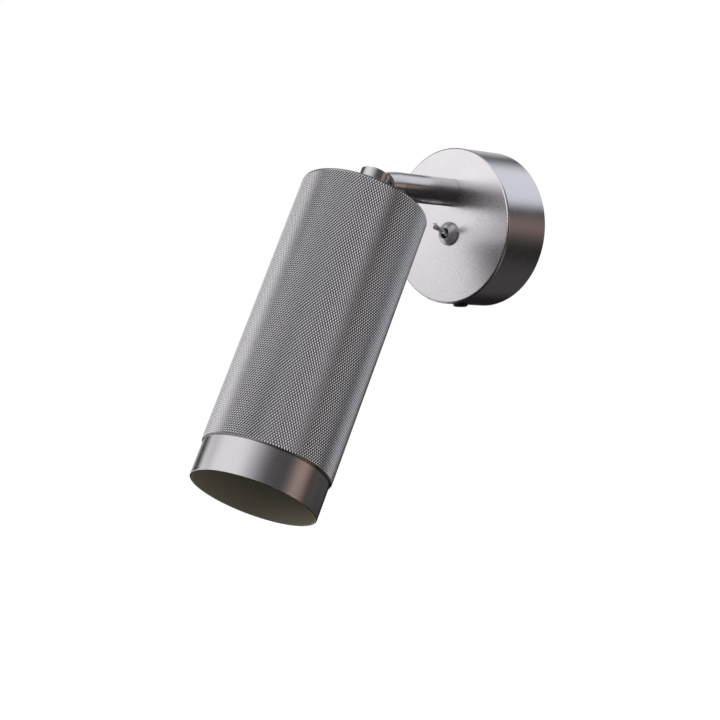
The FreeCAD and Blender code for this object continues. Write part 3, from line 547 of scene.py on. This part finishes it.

# %% [markdown]
# ## Ring and inside of the shade
# The ring at the mouth is the end of the inner tube. Outside it is turned nickel. Inside it is dark, warm
# and dull, so that the lamp doesn't dazzle. Painted shade makes it darker further in, and painted light
# makes it lighter towards the mouth. Both are one piece, so a mask by the distance from the axis splits
# the two within the tube's wall.

# %% Ring and inside of the shade
RING_NICKEL = (0.63, 0.61, 0.615)
INSIDE_PAINT = (0.135, 0.118, 0.083)
INSIDE_EXTRA_ROUGH = 0.25
TUBE_OUTSIDE = 31.6 * MM
SKIN_INNER, SKIN_OUTER = 0.75 * MM, 0.6 * MM
PAINTED_SHADE_LENGTH = 34 * MM
DEEP_PAINTED_SHADE, MOUTH_PAINTED_LIGHT = 0.5, 1.25
ring_metal, tree, shader, made = turned_metal(
    "ring_nickel", RING_NICKEL, head_origin, HEAD_TURN, rough=0.25, stretch=0.6
)
outside = ramp(tree, made["radius"], TUBE_OUTSIDE - SKIN_INNER, TUBE_OUTSIDE - SKIN_OUTER)
inside = maths(tree, "SUBTRACT", 1.0, outside)
mouth_end = along_head("shade_inner_tube")[1]
# Painted shade: the inside paint is darkened deeper in the tube and brightened near the mouth.
depth = ramp(tree, made["z"], mouth_end - PAINTED_SHADE_LENGTH, mouth_end, DEEP_PAINTED_SHADE, MOUTH_PAINTED_LIGHT, smooth=False)
inside_colour_with_shade = vector_maths(tree, "MULTIPLY", INSIDE_PAINT, depth)
rough_mix = maths(tree, "ADD", made["rough"], maths(tree, "MULTIPLY", inside, INSIDE_EXTRA_ROUGH))
plug(tree, shader.inputs["Base Color"], blend_colours(tree, outside, inside_colour_with_shade, made["colour"]))
plug(tree, shader.inputs["Metallic"], outside)
plug(tree, shader.inputs["Roughness"], rough_mix)
dress(ring_metal, "shade_inner_tube")
print("mouth %.4f from the pivot" % mouth_end)

# %% [markdown]
# ## Knurling
# The outer tube is diamond knurled. In the photograph a diamond is 1.4 mm wide and 2.23 mm long, with a
# small flat on top, and that makes 146 of them round the tube. A bump texture would vanish at the outline,
# so each diamond is a real truncated pyramid. Its four feet lie in the grooves and are shared with its
# neighbours. The tube is built upright first, as a list of points and faces, and angles are counted in
# columns of diamonds.

# %% Knurling
AROUND = 146
DIAMONDS_LONG = 64
CREST = 32.5 * MM
KNURL_DEPTH = 0.36 * MM
FLAT_SHARE = 0.27
TOP_MARGIN, MOUTH_MARGIN = 0.25 * MM, 0.3 * MM
shade_start, shade_end = along_head("shade_outer_tube")
knurl_start = shade_start + TOP_MARGIN
diamond_long = (shade_end - knurl_start - MOUTH_MARGIN) / DIAMONDS_LONG
groove = CREST - KNURL_DEPTH
points, faces = [], []


def add_point(radius, column, height):
    """Adds one point of the tube and returns its number."""
    angle = column * 2 * math.pi / AROUND
    points.append((radius * math.cos(angle), radius * math.sin(angle), height))
    return len(points) - 1


def row_height(row):
    """Rows are half a diamond apart."""
    return knurl_start + row * diamond_long / 2


def groove_row(row):
    """The groove points of one row. Even rows are shifted by half a diamond."""
    shift = 0.5 if row % 2 == 0 else 0.0
    return [add_point(groove, column + shift, row_height(row)) for column in range(AROUND)]


grooves = [groove_row(row) for row in range(2 * DIAMONDS_LONG + 1)]
print("diamonds %.2f mm long" % (diamond_long / MM))

# %% [markdown]
# ## Diamonds
# A diamond sits on every groove row but the first and the last. Its feet are the two groove points beside it
# in its own row and the ones below and above it. On real knurling the tops stay flat where the wheels didn't
# cut to full depth, and those small flats are what sparkles.


# %% Diamonds
def add_diamond(row, column):
    """Adds one truncated pyramid: a flat top and four sloping sides."""
    even = row % 2 == 0
    height = row_height(row)
    centre = column + (0.0 if even else 0.5)
    left = grooves[row][column - 1 if even else column]
    right = grooves[row][column if even else (column + 1) % AROUND]
    feet = (left, grooves[row - 1][column], right, grooves[row + 1][column])
    half_wide, half_long = FLAT_SHARE / 2, FLAT_SHARE * diamond_long / 2
    tops = (
        add_point(CREST, centre - half_wide, height),
        add_point(CREST, centre, height - half_long),
        add_point(CREST, centre + half_wide, height),
        add_point(CREST, centre, height + half_long),
    )
    faces.append(tops)
    for this in range(4):
        other = (this + 1) % 4
        faces.append((feet[this], feet[other], tops[other], tops[this]))


for row in range(1, 2 * DIAMONDS_LONG):
    for column in range(AROUND):
        add_diamond(row, column)
print("faces so far", len(faces))

# %% [markdown]
# ## Ends and inside of the knurled tube
# Half diamonds are left over at both ends, and they are filled at groove level. From there a profile runs
# over a small rounded rim, across the closed top with its hole for the knuckle's spigot, down the bore and
# round the open end. Each point of the profile becomes a ring, and neighbouring rings are joined.

# %% Ends and inside of the knurled tube
BORE = 31.75 * MM
SPIGOT_HOLE = 5.25 * MM
TOP_THICK = 1.2 * MM
TOP_MIDDLE = 18.0 * MM
RIM_ROUND, RIM_ROUND_MIDDLE = 0.2 * MM, 0.06 * MM
END_CHAMFER, BORE_CHAMFER = 0.1 * MM, 0.05 * MM
PROFILE = (
    (groove, shade_start + RIM_ROUND),
    (groove - RIM_ROUND_MIDDLE, shade_start + RIM_ROUND_MIDDLE),
    (groove - RIM_ROUND, shade_start),
    (TOP_MIDDLE, shade_start),
    (SPIGOT_HOLE + RIM_ROUND, shade_start),
    (SPIGOT_HOLE, shade_start + RIM_ROUND),
    (SPIGOT_HOLE, shade_start + TOP_THICK),
    (BORE, shade_start + TOP_THICK),
    (BORE, shade_end - END_CHAMFER),
    (BORE + BORE_CHAMFER, shade_end),
    (groove - END_CHAMFER, shade_end),
    (groove, shade_end - END_CHAMFER),
)
for column in range(AROUND):
    faces.append((grooves[0][column - 1], grooves[0][column], grooves[1][column]))
    faces.append((grooves[-2][column], grooves[-1][column], grooves[-1][column - 1]))
rings = [grooves[0]]
for radius, height in PROFILE:
    rings.append([add_point(radius, column + 0.5, height) for column in range(AROUND)])
rings.append(grooves[-1])
for first, second in zip(rings, rings[1:]):
    for column in range(AROUND):
        faces.append((first[column - 1], second[column - 1], second[column], first[column]))
print("rings in the profile", len(PROFILE))

# %% [markdown]
# ## Knurled tube
# Now the points become a mesh, and the head's matrix lays it along the leaning shade. Shading it all smooth
# would melt the diamonds together, so every edge that turns by more than a few degrees is marked sharp. The
# mesh then rides on the head and takes the place of the plain tube.

# %% Knurled tube
KNURL_SHARP = 12


def shade_smooth(mesh, sharp_degrees):
    """Smooth shading, except over the edges that turn by more than an angle."""
    mesh.polygons.foreach_set("use_smooth", [True] * len(mesh.polygons))
    mesh.set_sharp_from_angle(angle=math.radians(sharp_degrees))


knurl_mesh = bpy.data.meshes.new("knurled_shade")
knurl_mesh.from_pydata(points, [], faces)
knurl_mesh.transform(head_matrix)
shade_smooth(knurl_mesh, KNURL_SHARP)
knurl_mesh.validate()
shade = put_in_scene("knurled_shade", knurl_mesh)
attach(shade, "head")
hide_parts("shade_outer_tube")
print("knurl triangles", sum(len(polygon.vertices) - 2 for polygon in knurl_mesh.polygons))

# %% [markdown]
# ## Knurled finish
# The knurled tube has the same nickel, but its grooves catch little light. The distance from the axis tells
# groove from crest, so a ramp over the knurl's depth paints shade into the grooves and leaves the crests and
# the bore as they are. The highlights aren't stretched here: the diamonds break up the lines.

# %% Knurled finish
KNURL_NICKEL = (0.66, 0.645, 0.655)
GROOVE_PAINTED_SHADE = 0.35
GROOVE_SHADE_FROM, GROOVE_SHADE_TO = -0.02 * MM, 0.16 * MM
BORE_FROM, BORE_TO = -0.12 * MM, -0.2 * MM
knurl_metal, tree, shader, made = turned_metal(
    "knurled_nickel", KNURL_NICKEL, head_origin, HEAD_TURN, rough=0.22, stretch=0.0, relief=0.03
)
# Painted shade in the grooves: darkest at the groove floor, fading out towards the crests.
painted_groove_shade = ramp(tree, made["radius"], groove + GROOVE_SHADE_FROM, groove + GROOVE_SHADE_TO, GROOVE_PAINTED_SHADE, 1.0)
in_bore = ramp(tree, made["radius"], groove + BORE_FROM, groove + BORE_TO)
groove_shade_factor = maths(tree, "MAXIMUM", painted_groove_shade, in_bore)
plug(tree, shader.inputs["Base Color"], vector_maths(tree, "MULTIPLY", made["colour"], groove_shade_factor))
shade.data.materials.append(knurl_metal)
print("grooves at %.2f mm" % (groove / MM))

# %% [markdown]
# ## Plain finishes
# The small parts have their own finishes: satin nickel on the dress nut and chrome on the lever, black oxide
# on the screw under the canopy, black inside the switch as painted shade in its mouth, zinc on the plate,
# nuts and washers, brass on the contacts, plastics and the lamp's opal glass. One helper makes them all. A
# flat colour looks false close up, so a grain of two sizes moves tone and roughness a little and gives a
# slight bump.

# %% Plain finishes
LARGE_GRAIN = 12
PLAIN_RELIEF = 0.05


def plain(name, colour, rough, metal=0.0, tone=0.06, scale=900.0):
    """A moulded or plated finish: a fine grain in tone, roughness and bump."""
    material, tree, shader = fresh(name)
    where = object_place(tree)
    grain = noise(tree, where, scale, detail=3.0, roughness=0.6)
    large = noise(tree, where, scale / LARGE_GRAIN, detail=3.0, roughness=0.5)
    mixed = weighted(tree, grain, 0.5, large, 0.5)
    tinted = vector_maths(tree, "MULTIPLY", colour, around(tree, mixed, 1.0, tone))
    plug(tree, shader.inputs["Base Color"], tinted)
    plug(tree, shader.inputs["Roughness"], around(tree, mixed, rough, ROUGH_SWING))
    shader.inputs["Metallic"].default_value = metal
    add_bump(tree, shader, grain, PLAIN_RELIEF)
    return material


nut_metal = plain("dress_nut_nickel", (0.66, 0.65, 0.66), rough=0.42, metal=0.87, tone=0.04)
lever_metal = plain("lever_chrome", (0.96, 0.96, 0.97), rough=0.19, metal=0.84, tone=0.02)
black_oxide = plain("black_oxide", (0.018, 0.018, 0.019), rough=0.42, metal=0.6)
zinc = plain("zinc_plate", (0.58, 0.60, 0.63), rough=0.36, metal=1.0, tone=0.08, scale=400.0)
brass = plain("brass", (0.72, 0.53, 0.24), rough=0.3, metal=1.0)
cap_metal = plain("lamp_cap_nickel", (0.70, 0.68, 0.64), rough=0.28, metal=1.0)
dark_plastic = plain("dark_plastic", (0.022, 0.022, 0.024), rough=0.45)
pale_plastic = plain("pale_plastic", (0.72, 0.70, 0.64), rough=0.5)
opal = plain("opal_glass", (0.9, 0.89, 0.86), rough=0.16, tone=0.01)
print("finishes", len(bpy.data.materials))

# %% [markdown]
# ## Fittings
# The solids of the frame that keep their own mesh only need a finish. The switch's bushing is blackened as
# painted shade. The photograph shows a dark ring of shade in the gap between the dress nut's mouth and the
# lever's ball.

# %% Fittings
dress(nut_metal, "switch_dress_nut")
dress(zinc, "wall_plate", "arm_bush", "arm_stud", "arm_washer")
dress(zinc, "swivel_washer", "swivel_nut", "spigot_washer")
dress(brass, "switch_terminal_1", "switch_terminal_2", "lampholder_sleeve", "lampholder_contact")
dress(dark_plastic, "switch_body", "lampholder_body")
# Painted shade: the black bushing stands for the dark gap in the switch's mouth.
dress(black_oxide, "switch_bushing")
dress(pale_plastic, "terminal_block")
dress(opal, "lamp_bulb")
print("dressed", sum(len(node.data.materials) > 0 for node in nodes.values()))

# %% [markdown]
# ## Seams in the shading
# A turned face starts and ends on one line, its seam, and the converted mesh has two sets of normals there.
# They differ by one facet, and on polished metal that shows as a hard line in the reflections. A finer mesh
# would only make it smaller. Where the normals at one point differ only in the direction round the axis,
# each gets their mean, and the line is gone. No vertex moves.

# %% Seams in the shading
SPOT_SIZE = 0.001 * MM
LARGEST_STEP = 0.16
ROUND_SHARE = 0.9
CHANGED_ANGLE = 0.01


def corners_by_spot(mesh):
    """Groups the corners of all faces by the point where they meet."""
    meeting = {}
    for loop in mesh.loops:
        spot = tuple(round(part / SPOT_SIZE) for part in mesh.vertices[loop.vertex_index].co)
        meeting.setdefault(spot, []).append(loop.index)
    return meeting


def is_seam_step(step, round_way):
    """Whether the step from one normal to another is small and runs round the axis."""
    return step.length < LARGEST_STEP and abs(step.dot(round_way)) >= ROUND_SHARE * step.length


def mend_seams(name, origin, axis):
    """Averages the two sets of normals along a turned node's seam, and counts the corners it changed."""
    mesh = nodes[name].data
    before = [Vector(corner.vector) for corner in mesh.corner_normals]
    after = list(before)
    for spot, corners in corners_by_spot(mesh).items():
        round_way = Vector(axis).cross(Vector(spot) * SPOT_SIZE - Vector(origin)).normalized()
        kinds = {tuple(round(part, 3) for part in before[corner]): before[corner] for corner in corners}
        for corner in corners:
            steps = [normal - before[corner] for normal in kinds.values()]
            near = [step for step in steps if is_seam_step(step, round_way)]
            after[corner] = (before[corner] + sum(near, Vector()) / max(len(near), 1)).normalized()
    mesh.normals_split_custom_set(after)
    return sum(old.angle(new, 0.0) > CHANGED_ANGLE for old, new in zip(before, after))


# %% [markdown]
# ## Mending the seams
# Seven pieces are polished and round enough to show their seam. Each is mended about the axis on which it was
# turned: four square to the wall and three along the head.

# %% Mending the seams
OUT_OF_WALL = (0.0, 1.0, 0.0)
SEAMED = {
    "canopy_cup": (wall_axis, OUT_OF_WALL),
    "arm_pipe": (arm_axis, OUT_OF_WALL),
    "upper_knuckle": (arm_axis, OUT_OF_WALL),
    "switch_dress_nut": (switch_axis, OUT_OF_WALL),
    "lower_knuckle": (head_origin, tuple(head_axis)),
    "shade_inner_tube": (head_origin, tuple(head_axis)),
    "lamp_bulb": (head_origin, tuple(head_axis)),
}
for name, (origin, axis) in SEAMED.items():
    print("mended", name, mend_seams(name, origin, axis))

# %% [markdown]
# ## Eased edges
# No real edge is perfectly sharp. The plain solids get a small rounding where two faces meet at a clear
# angle, so each edge catches a thin line of light. A bevel does that without touching the solid itself. It
# comes after a weld, because the converted faces aren't joined yet. The widths are in millimetres.

# %% Eased edges
WELD_REACH = 0.0005 * MM
EASED_FROM = 35
EASED_WIDTHS = {
    "wall_plate": 0.20,
    "arm_washer": 0.12,
    "arm_stud": 0.10,
    "swivel_washer": 0.10,
    "spigot_washer": 0.10,
    "lampholder_body": 0.30,
    "lampholder_sleeve": 0.05,
    "switch_body": 0.25,
    "switch_terminal_1": 0.08,
    "switch_terminal_2": 0.08,
    "terminal_block": 0.30,
}


def ease_edges(name, width):
    """Welds the facets' seams and rounds each edge that turns by more than an angle."""
    node = nodes[name]
    weld = node.modifiers.new("weld", "WELD")
    weld.merge_threshold = WELD_REACH
    ease = node.modifiers.new("ease", "BEVEL")
    ease.width = width * MM
    ease.segments = 2
    ease.limit_method = "ANGLE"
    ease.angle_limit = math.radians(EASED_FROM)
    ease.use_clamp_overlap = True


for name, width in EASED_WIDTHS.items():
    ease_edges(name, width)
print("eased", len(EASED_WIDTHS), "pieces")

# %% [markdown]
# ## Rings of points
# A screw is a turned blank with a recess pressed into its head. Cutting one shape out of another leaves a
# ragged mesh, so screws, nuts, the lever and the lamp's thread are all skinned over rings of points. Each
# ring has a radius and a height, and either may change with the angle.

# %% Rings of points
SPOKES = 72
PIECE_SHARP = 32


def at(value, angle):
    """A ring's number, or what its rule gives at an angle."""
    return value(angle) if callable(value) else value


def ringed(name, rings, placed, material, closed=False):
    """Skins a list of (radius, height) rings. Either may be a number or a rule that takes the angle."""
    form = bmesh.new()
    loops = []
    for radius, height in rings:
        loop = []
        for spoke in range(SPOKES):
            angle = 2 * math.pi * spoke / SPOKES
            r = at(radius, angle)
            loop.append(form.verts.new((r * math.cos(angle), r * math.sin(angle), at(height, angle))))
        loops.append(loop)
    pairs = list(zip(loops, loops[1:]))
    if closed:
        pairs.append((loops[-1], loops[0]))
    else:
        form.faces.new(list(reversed(loops[0])))
        form.faces.new(loops[-1])
    for first, second in pairs:
        for spoke in range(SPOKES):
            following = (spoke + 1) % SPOKES
            form.faces.new((first[spoke], first[following], second[following], second[spoke]))
    bmesh.ops.recalc_face_normals(form, faces=form.faces)
    mesh = to_mesh(form, name)
    mesh.transform(placed)
    shade_smooth(mesh, PIECE_SHARP)
    mesh.materials.append(material)
    return put_in_scene(name, mesh)


def stand_in(piece, node, body):
    """Lets a finer piece move with a body and take the place of a plain solid."""
    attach(piece, body)
    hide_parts(node)


def pointing(place, way):
    """Puts a shape's zero at a place and turns its Z along a way."""
    return Matrix.Translation(place) @ way.to_track_quat("Z", "Y").to_matrix().to_4x4()


# %% [markdown]
# ## Recesses
# A driver's recess is a hole with an outline: a hexagon, a slot or a cross. With rings of points each is just
# a rule for the radius: how far the recess reaches from the middle at an angle. A cross is the longer reach
# of two slots, and a nut's outside follows the hexagon's rule too.

# %% Recesses
TINY = 1e-6


def hexagon(flats):
    """Distance from the middle to a hexagon's side, at any angle. One corner points along X."""
    return lambda angle: flats / 2 / math.cos(angle % (math.pi / 3) - math.pi / 6)


def slot_recess(half_width, reach):
    """Distance from the middle to the outline of a slot that runs along X."""

    def radius(angle):
        to_side = half_width / max(abs(math.sin(angle)), TINY)
        to_end = reach / max(abs(math.cos(angle)), TINY)
        return min(to_side, to_end)

    return radius


def cross_recess(half_width, reach):
    """Distance from the middle to the outline of a cross of two slots."""
    arm = slot_recess(half_width, reach)
    return lambda angle: max(arm(angle), arm(angle + math.pi / 2))


hex_socket = hexagon(flats=2.5 * MM)
small_cross = cross_recess(half_width=0.3 * MM, reach=1.35 * MM)
large_cross = cross_recess(half_width=0.45 * MM, reach=2.1 * MM)
clamp_slot = slot_recess(half_width=0.25 * MM, reach=1.2 * MM)
print("hexagon's corner %.2f mm from its middle" % (hex_socket(0.0) / MM))

# %% [markdown]
# ## Screws
# Seven screws hold the light together. The one that shows is black with a domed head and a hexagon socket,
# and it fixes the canopy from below. A head is given by its radius and height, by the flat on top, outside
# which it falls away to the rim in a quarter of an ellipse, and by its recess and how deep that goes.

# %% Screws
SCREW_POINT = 0.3 * MM
DOME_STEPS = 6


def head_shape(radius, height, flat, fall, recess, depth):
    """A screw head in millimetres, with the outline of its recess."""
    sizes_mm = {"radius": radius, "height": height, "flat": flat, "fall": fall, "depth": depth}
    return {"recess": recess, **{key: value * MM for key, value in sizes_mm.items()}}


def screw(node, direction, shank_r, head, body, material):
    """A screw in a node's place. Its head points along direction."""
    low_corner, high_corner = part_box(node)
    along = Vector(direction)
    length = abs((high_corner - low_corner).dot(along))
    under_head = -head["height"]
    rings = [(shank_r - SCREW_POINT, -length), (shank_r, SCREW_POINT - length)]
    rings += [(shank_r, under_head), (head["radius"], under_head)]
    for part in range(DOME_STEPS + 1):
        turn = math.pi / 2 * part / DOME_STEPS
        across = head["flat"] + (head["radius"] - head["flat"]) * math.cos(turn)
        rings.append((across, head["fall"] * (math.sin(turn) - 1)))
    rings += [(head["recess"], 0.0), (head["recess"], -head["depth"])]
    placed = pointing((low_corner + high_corner) / 2 + along * length / 2, along)
    stand_in(ringed(node + "_pressed", rings, placed, material), node, body)


SIDE_HEAD = head_shape(radius=3.8, height=1.3, flat=1.8, fall=0.95, recess=hex_socket, depth=1.0)
PIVOT_HEAD = head_shape(radius=3.2, height=1.75, flat=2.9, fall=0.3, recess=hex_socket, depth=1.0)
BLOCK_HEAD = head_shape(radius=2.2, height=1.0, flat=1.6, fall=0.5, recess=small_cross, depth=0.6)
EARTH_HEAD = head_shape(radius=3.4, height=2.2, flat=2.6, fall=0.8, recess=large_cross, depth=1.0)
CLAMP_HEAD = head_shape(radius=1.6, height=1.0, flat=1.4, fall=0.2, recess=clamp_slot, depth=0.7)
DOWN, LEFT, OUTWARD = (0, 0, -1), (-1, 0, 0), (0, -1, 0)
screw("side_screw_lower", DOWN, 2.0 * MM, SIDE_HEAD, "canopy", black_oxide)
screw("pivot_screw", LEFT, 1.75 * MM, PIVOT_HEAD, "head", zinc)
screw("block_screw", OUTWARD, 1.2 * MM, BLOCK_HEAD, "canopy", zinc)
screw("earth_screw", OUTWARD, 2.0 * MM, EARTH_HEAD, "canopy", zinc)
for number in (1, 2, 3):
    screw("clamp_screw_%d" % number, OUTWARD, 1.6 * MM, CLAMP_HEAD, "canopy", brass)

# %% [markdown]
# ## Switch lever
# The lever is turned from one rod: a ball that rocks in the switch's mouth, a thin neck, and a body that
# swells slowly to a round tip. The plain solid has a larger ball. The photograph shows a small one with a
# dark ring round it, so a finer lever stands in: the same rings of points, strung along the way from the
# pivot to the tip of the solid.

# %% Switch lever
LEVER_BALL, LEVER_NECK, LEVER_TIP = 1.55 * MM, 1.2 * MM, 1.65 * MM
LEVER_BODY, LEVER_SHOULDER = 1.3 * MM, 1.55 * MM
NECK_SHARE, BODY_SHARE = 0.55, 0.75
SHOULDER_BACK = 0.9 * MM
BALL_STEPS, TIP_STEPS = 10, 9
TIP_TURN = math.radians(86)
lever_reach = [vertex.co - lever_pivot for vertex in nodes["switch_lever"].data.vertices]
lever_tip = max(lever_reach, key=lambda reach: reach.length)
lever_way = lever_tip.normalized()
lever_tail = min(reach.dot(lever_way) for reach in lever_reach)
tip_centre = lever_tip.length - LEVER_TIP
ball_turn = math.acos(LEVER_NECK / LEVER_BALL)
rings = [(LEVER_NECK, lever_tail)]
for part in range(BALL_STEPS + 1):
    turn = ball_turn * (2 * part / BALL_STEPS - 1)
    rings.append((LEVER_BALL * math.cos(turn), LEVER_BALL * math.sin(turn)))
rings += [(LEVER_NECK, NECK_SHARE * tip_centre), (LEVER_BODY, BODY_SHARE * tip_centre)]
rings.append((LEVER_SHOULDER, tip_centre - SHOULDER_BACK))
for part in range(TIP_STEPS + 1):
    turn = TIP_TURN * part / TIP_STEPS
    rings.append((LEVER_TIP * math.cos(turn), tip_centre + LEVER_TIP * math.sin(turn)))
lever = ringed("switch_lever_turned", rings, pointing(lever_pivot, lever_way), lever_metal)
stand_in(lever, "switch_lever", "toggle")
print("lever %.1f mm beyond its pivot" % (lever_tip.length / MM))

# %% [markdown]
# ## Nuts
# A nut is a slice of hexagon bar whose corners are turned off at 30 degrees. With rings of points no cutting
# is needed: outside the circle that the turning leaves, each point falls away by its distance from that
# circle. The bore has a small chamfer at both ends, and the skin closes through it.

# %% Nuts
CORNER_ANGLE = math.radians(30)
CIRCLE_SHARE = 0.98
BORE_LEAD = 0.3 * MM


def hex_nut(node, flats, thick, bore_r, turn, body):
    """A hexagon nut in a node's place. Outside the circle of its flats, both ends fall away."""
    low_corner, high_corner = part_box(node)
    side = hexagon(flats)
    circle = flats / 2 * CIRCLE_SHARE

    def fallen(angle):
        return thick / 2 - (side(angle) - circle) * math.tan(CORNER_ANGLE)

    rings = [
        (bore_r, -thick / 2 + BORE_LEAD),
        (bore_r + BORE_LEAD, -thick / 2),
        (circle, -thick / 2),
        (side, lambda angle: -fallen(angle)),
        (side, fallen),
        (circle, thick / 2),
        (bore_r + BORE_LEAD, thick / 2),
        (bore_r, thick / 2 - BORE_LEAD),
    ]
    placed = Matrix.Translation((low_corner + high_corner) / 2) @ Matrix.Rotation(turn, 4, "X")
    stand_in(ringed(node + "_chamfered", rings, placed, zinc, closed=True), node, body)


PIPE_NUT = {"flats": 14 * MM, "thick": 3 * MM, "bore_r": 5 * MM}
SWITCH_NUT = {"flats": 11 * MM, "thick": 2 * MM, "bore_r": 4.05 * MM}
hex_nut("arm_nut", **PIPE_NUT, turn=WALL_TURN, body="canopy")
hex_nut("spigot_nut", **PIPE_NUT, turn=HEAD_TURN, body="head")
hex_nut("switch_inner_nut", **SWITCH_NUT, turn=WALL_TURN, body="canopy")

# %% [markdown]
# ## Lamp cap
# The lamp screws in by a rolled thread with round crests. Its radius is a wave that runs along the axis and
# moves on by one pitch in a full turn, so the same rings make it: each ring's radius is a rule of the angle.
# The wave fades out towards both ends of the thread.

# %% Lamp cap
PITCH = 2.82 * MM
THREAD_ROOT = 6.35 * MM
THREAD_CREST = 6.85 * MM
THREAD_LEVELS = 48
FADE_RATE = 5
THREAD_FROM_CONTACT, THREAD_FROM_COLLAR = 4.5 * MM, 6 * MM
# Radius and distance from the cap's contact end, and radius and distance from its open end, in millimetres.
CONTACT_END = ((2.2, 0.0), (3.0, 0.6), (3.4, 1.6), (5.8, 3.4), (6.2, 4.0))
COLLAR = ((6.5, 5.0), (6.9, 4.0), (6.9, 0.0))
cap_start, cap_end = along_head("lamp_cap")
thread_start, thread_end = cap_start + THREAD_FROM_CONTACT, cap_end - THREAD_FROM_COLLAR


def rolled(height, fade):
    """The thread's radius at a height, as a rule of the angle."""
    swing = (THREAD_CREST - THREAD_ROOT) * fade

    def radius(angle):
        wave = 0.5 + 0.5 * math.cos(2 * math.pi * height / PITCH - angle)
        return THREAD_ROOT + swing * wave

    return radius


rings = [(radius * MM, cap_start + distance * MM) for radius, distance in CONTACT_END]
for number in range(THREAD_LEVELS + 1):
    part = number / THREAD_LEVELS
    height = thread_start + (thread_end - thread_start) * part
    rings.append((rolled(height, min(1.0, part * FADE_RATE, (1 - part) * FADE_RATE)), height))
rings += [(radius * MM, cap_end - distance * MM) for radius, distance in COLLAR]
threaded_cap = ringed("lamp_cap_threaded", rings, head_matrix, cap_metal)
stand_in(threaded_cap, "lamp_cap", "head")
print("cap from %.4f to %.4f" % (cap_start, cap_end))
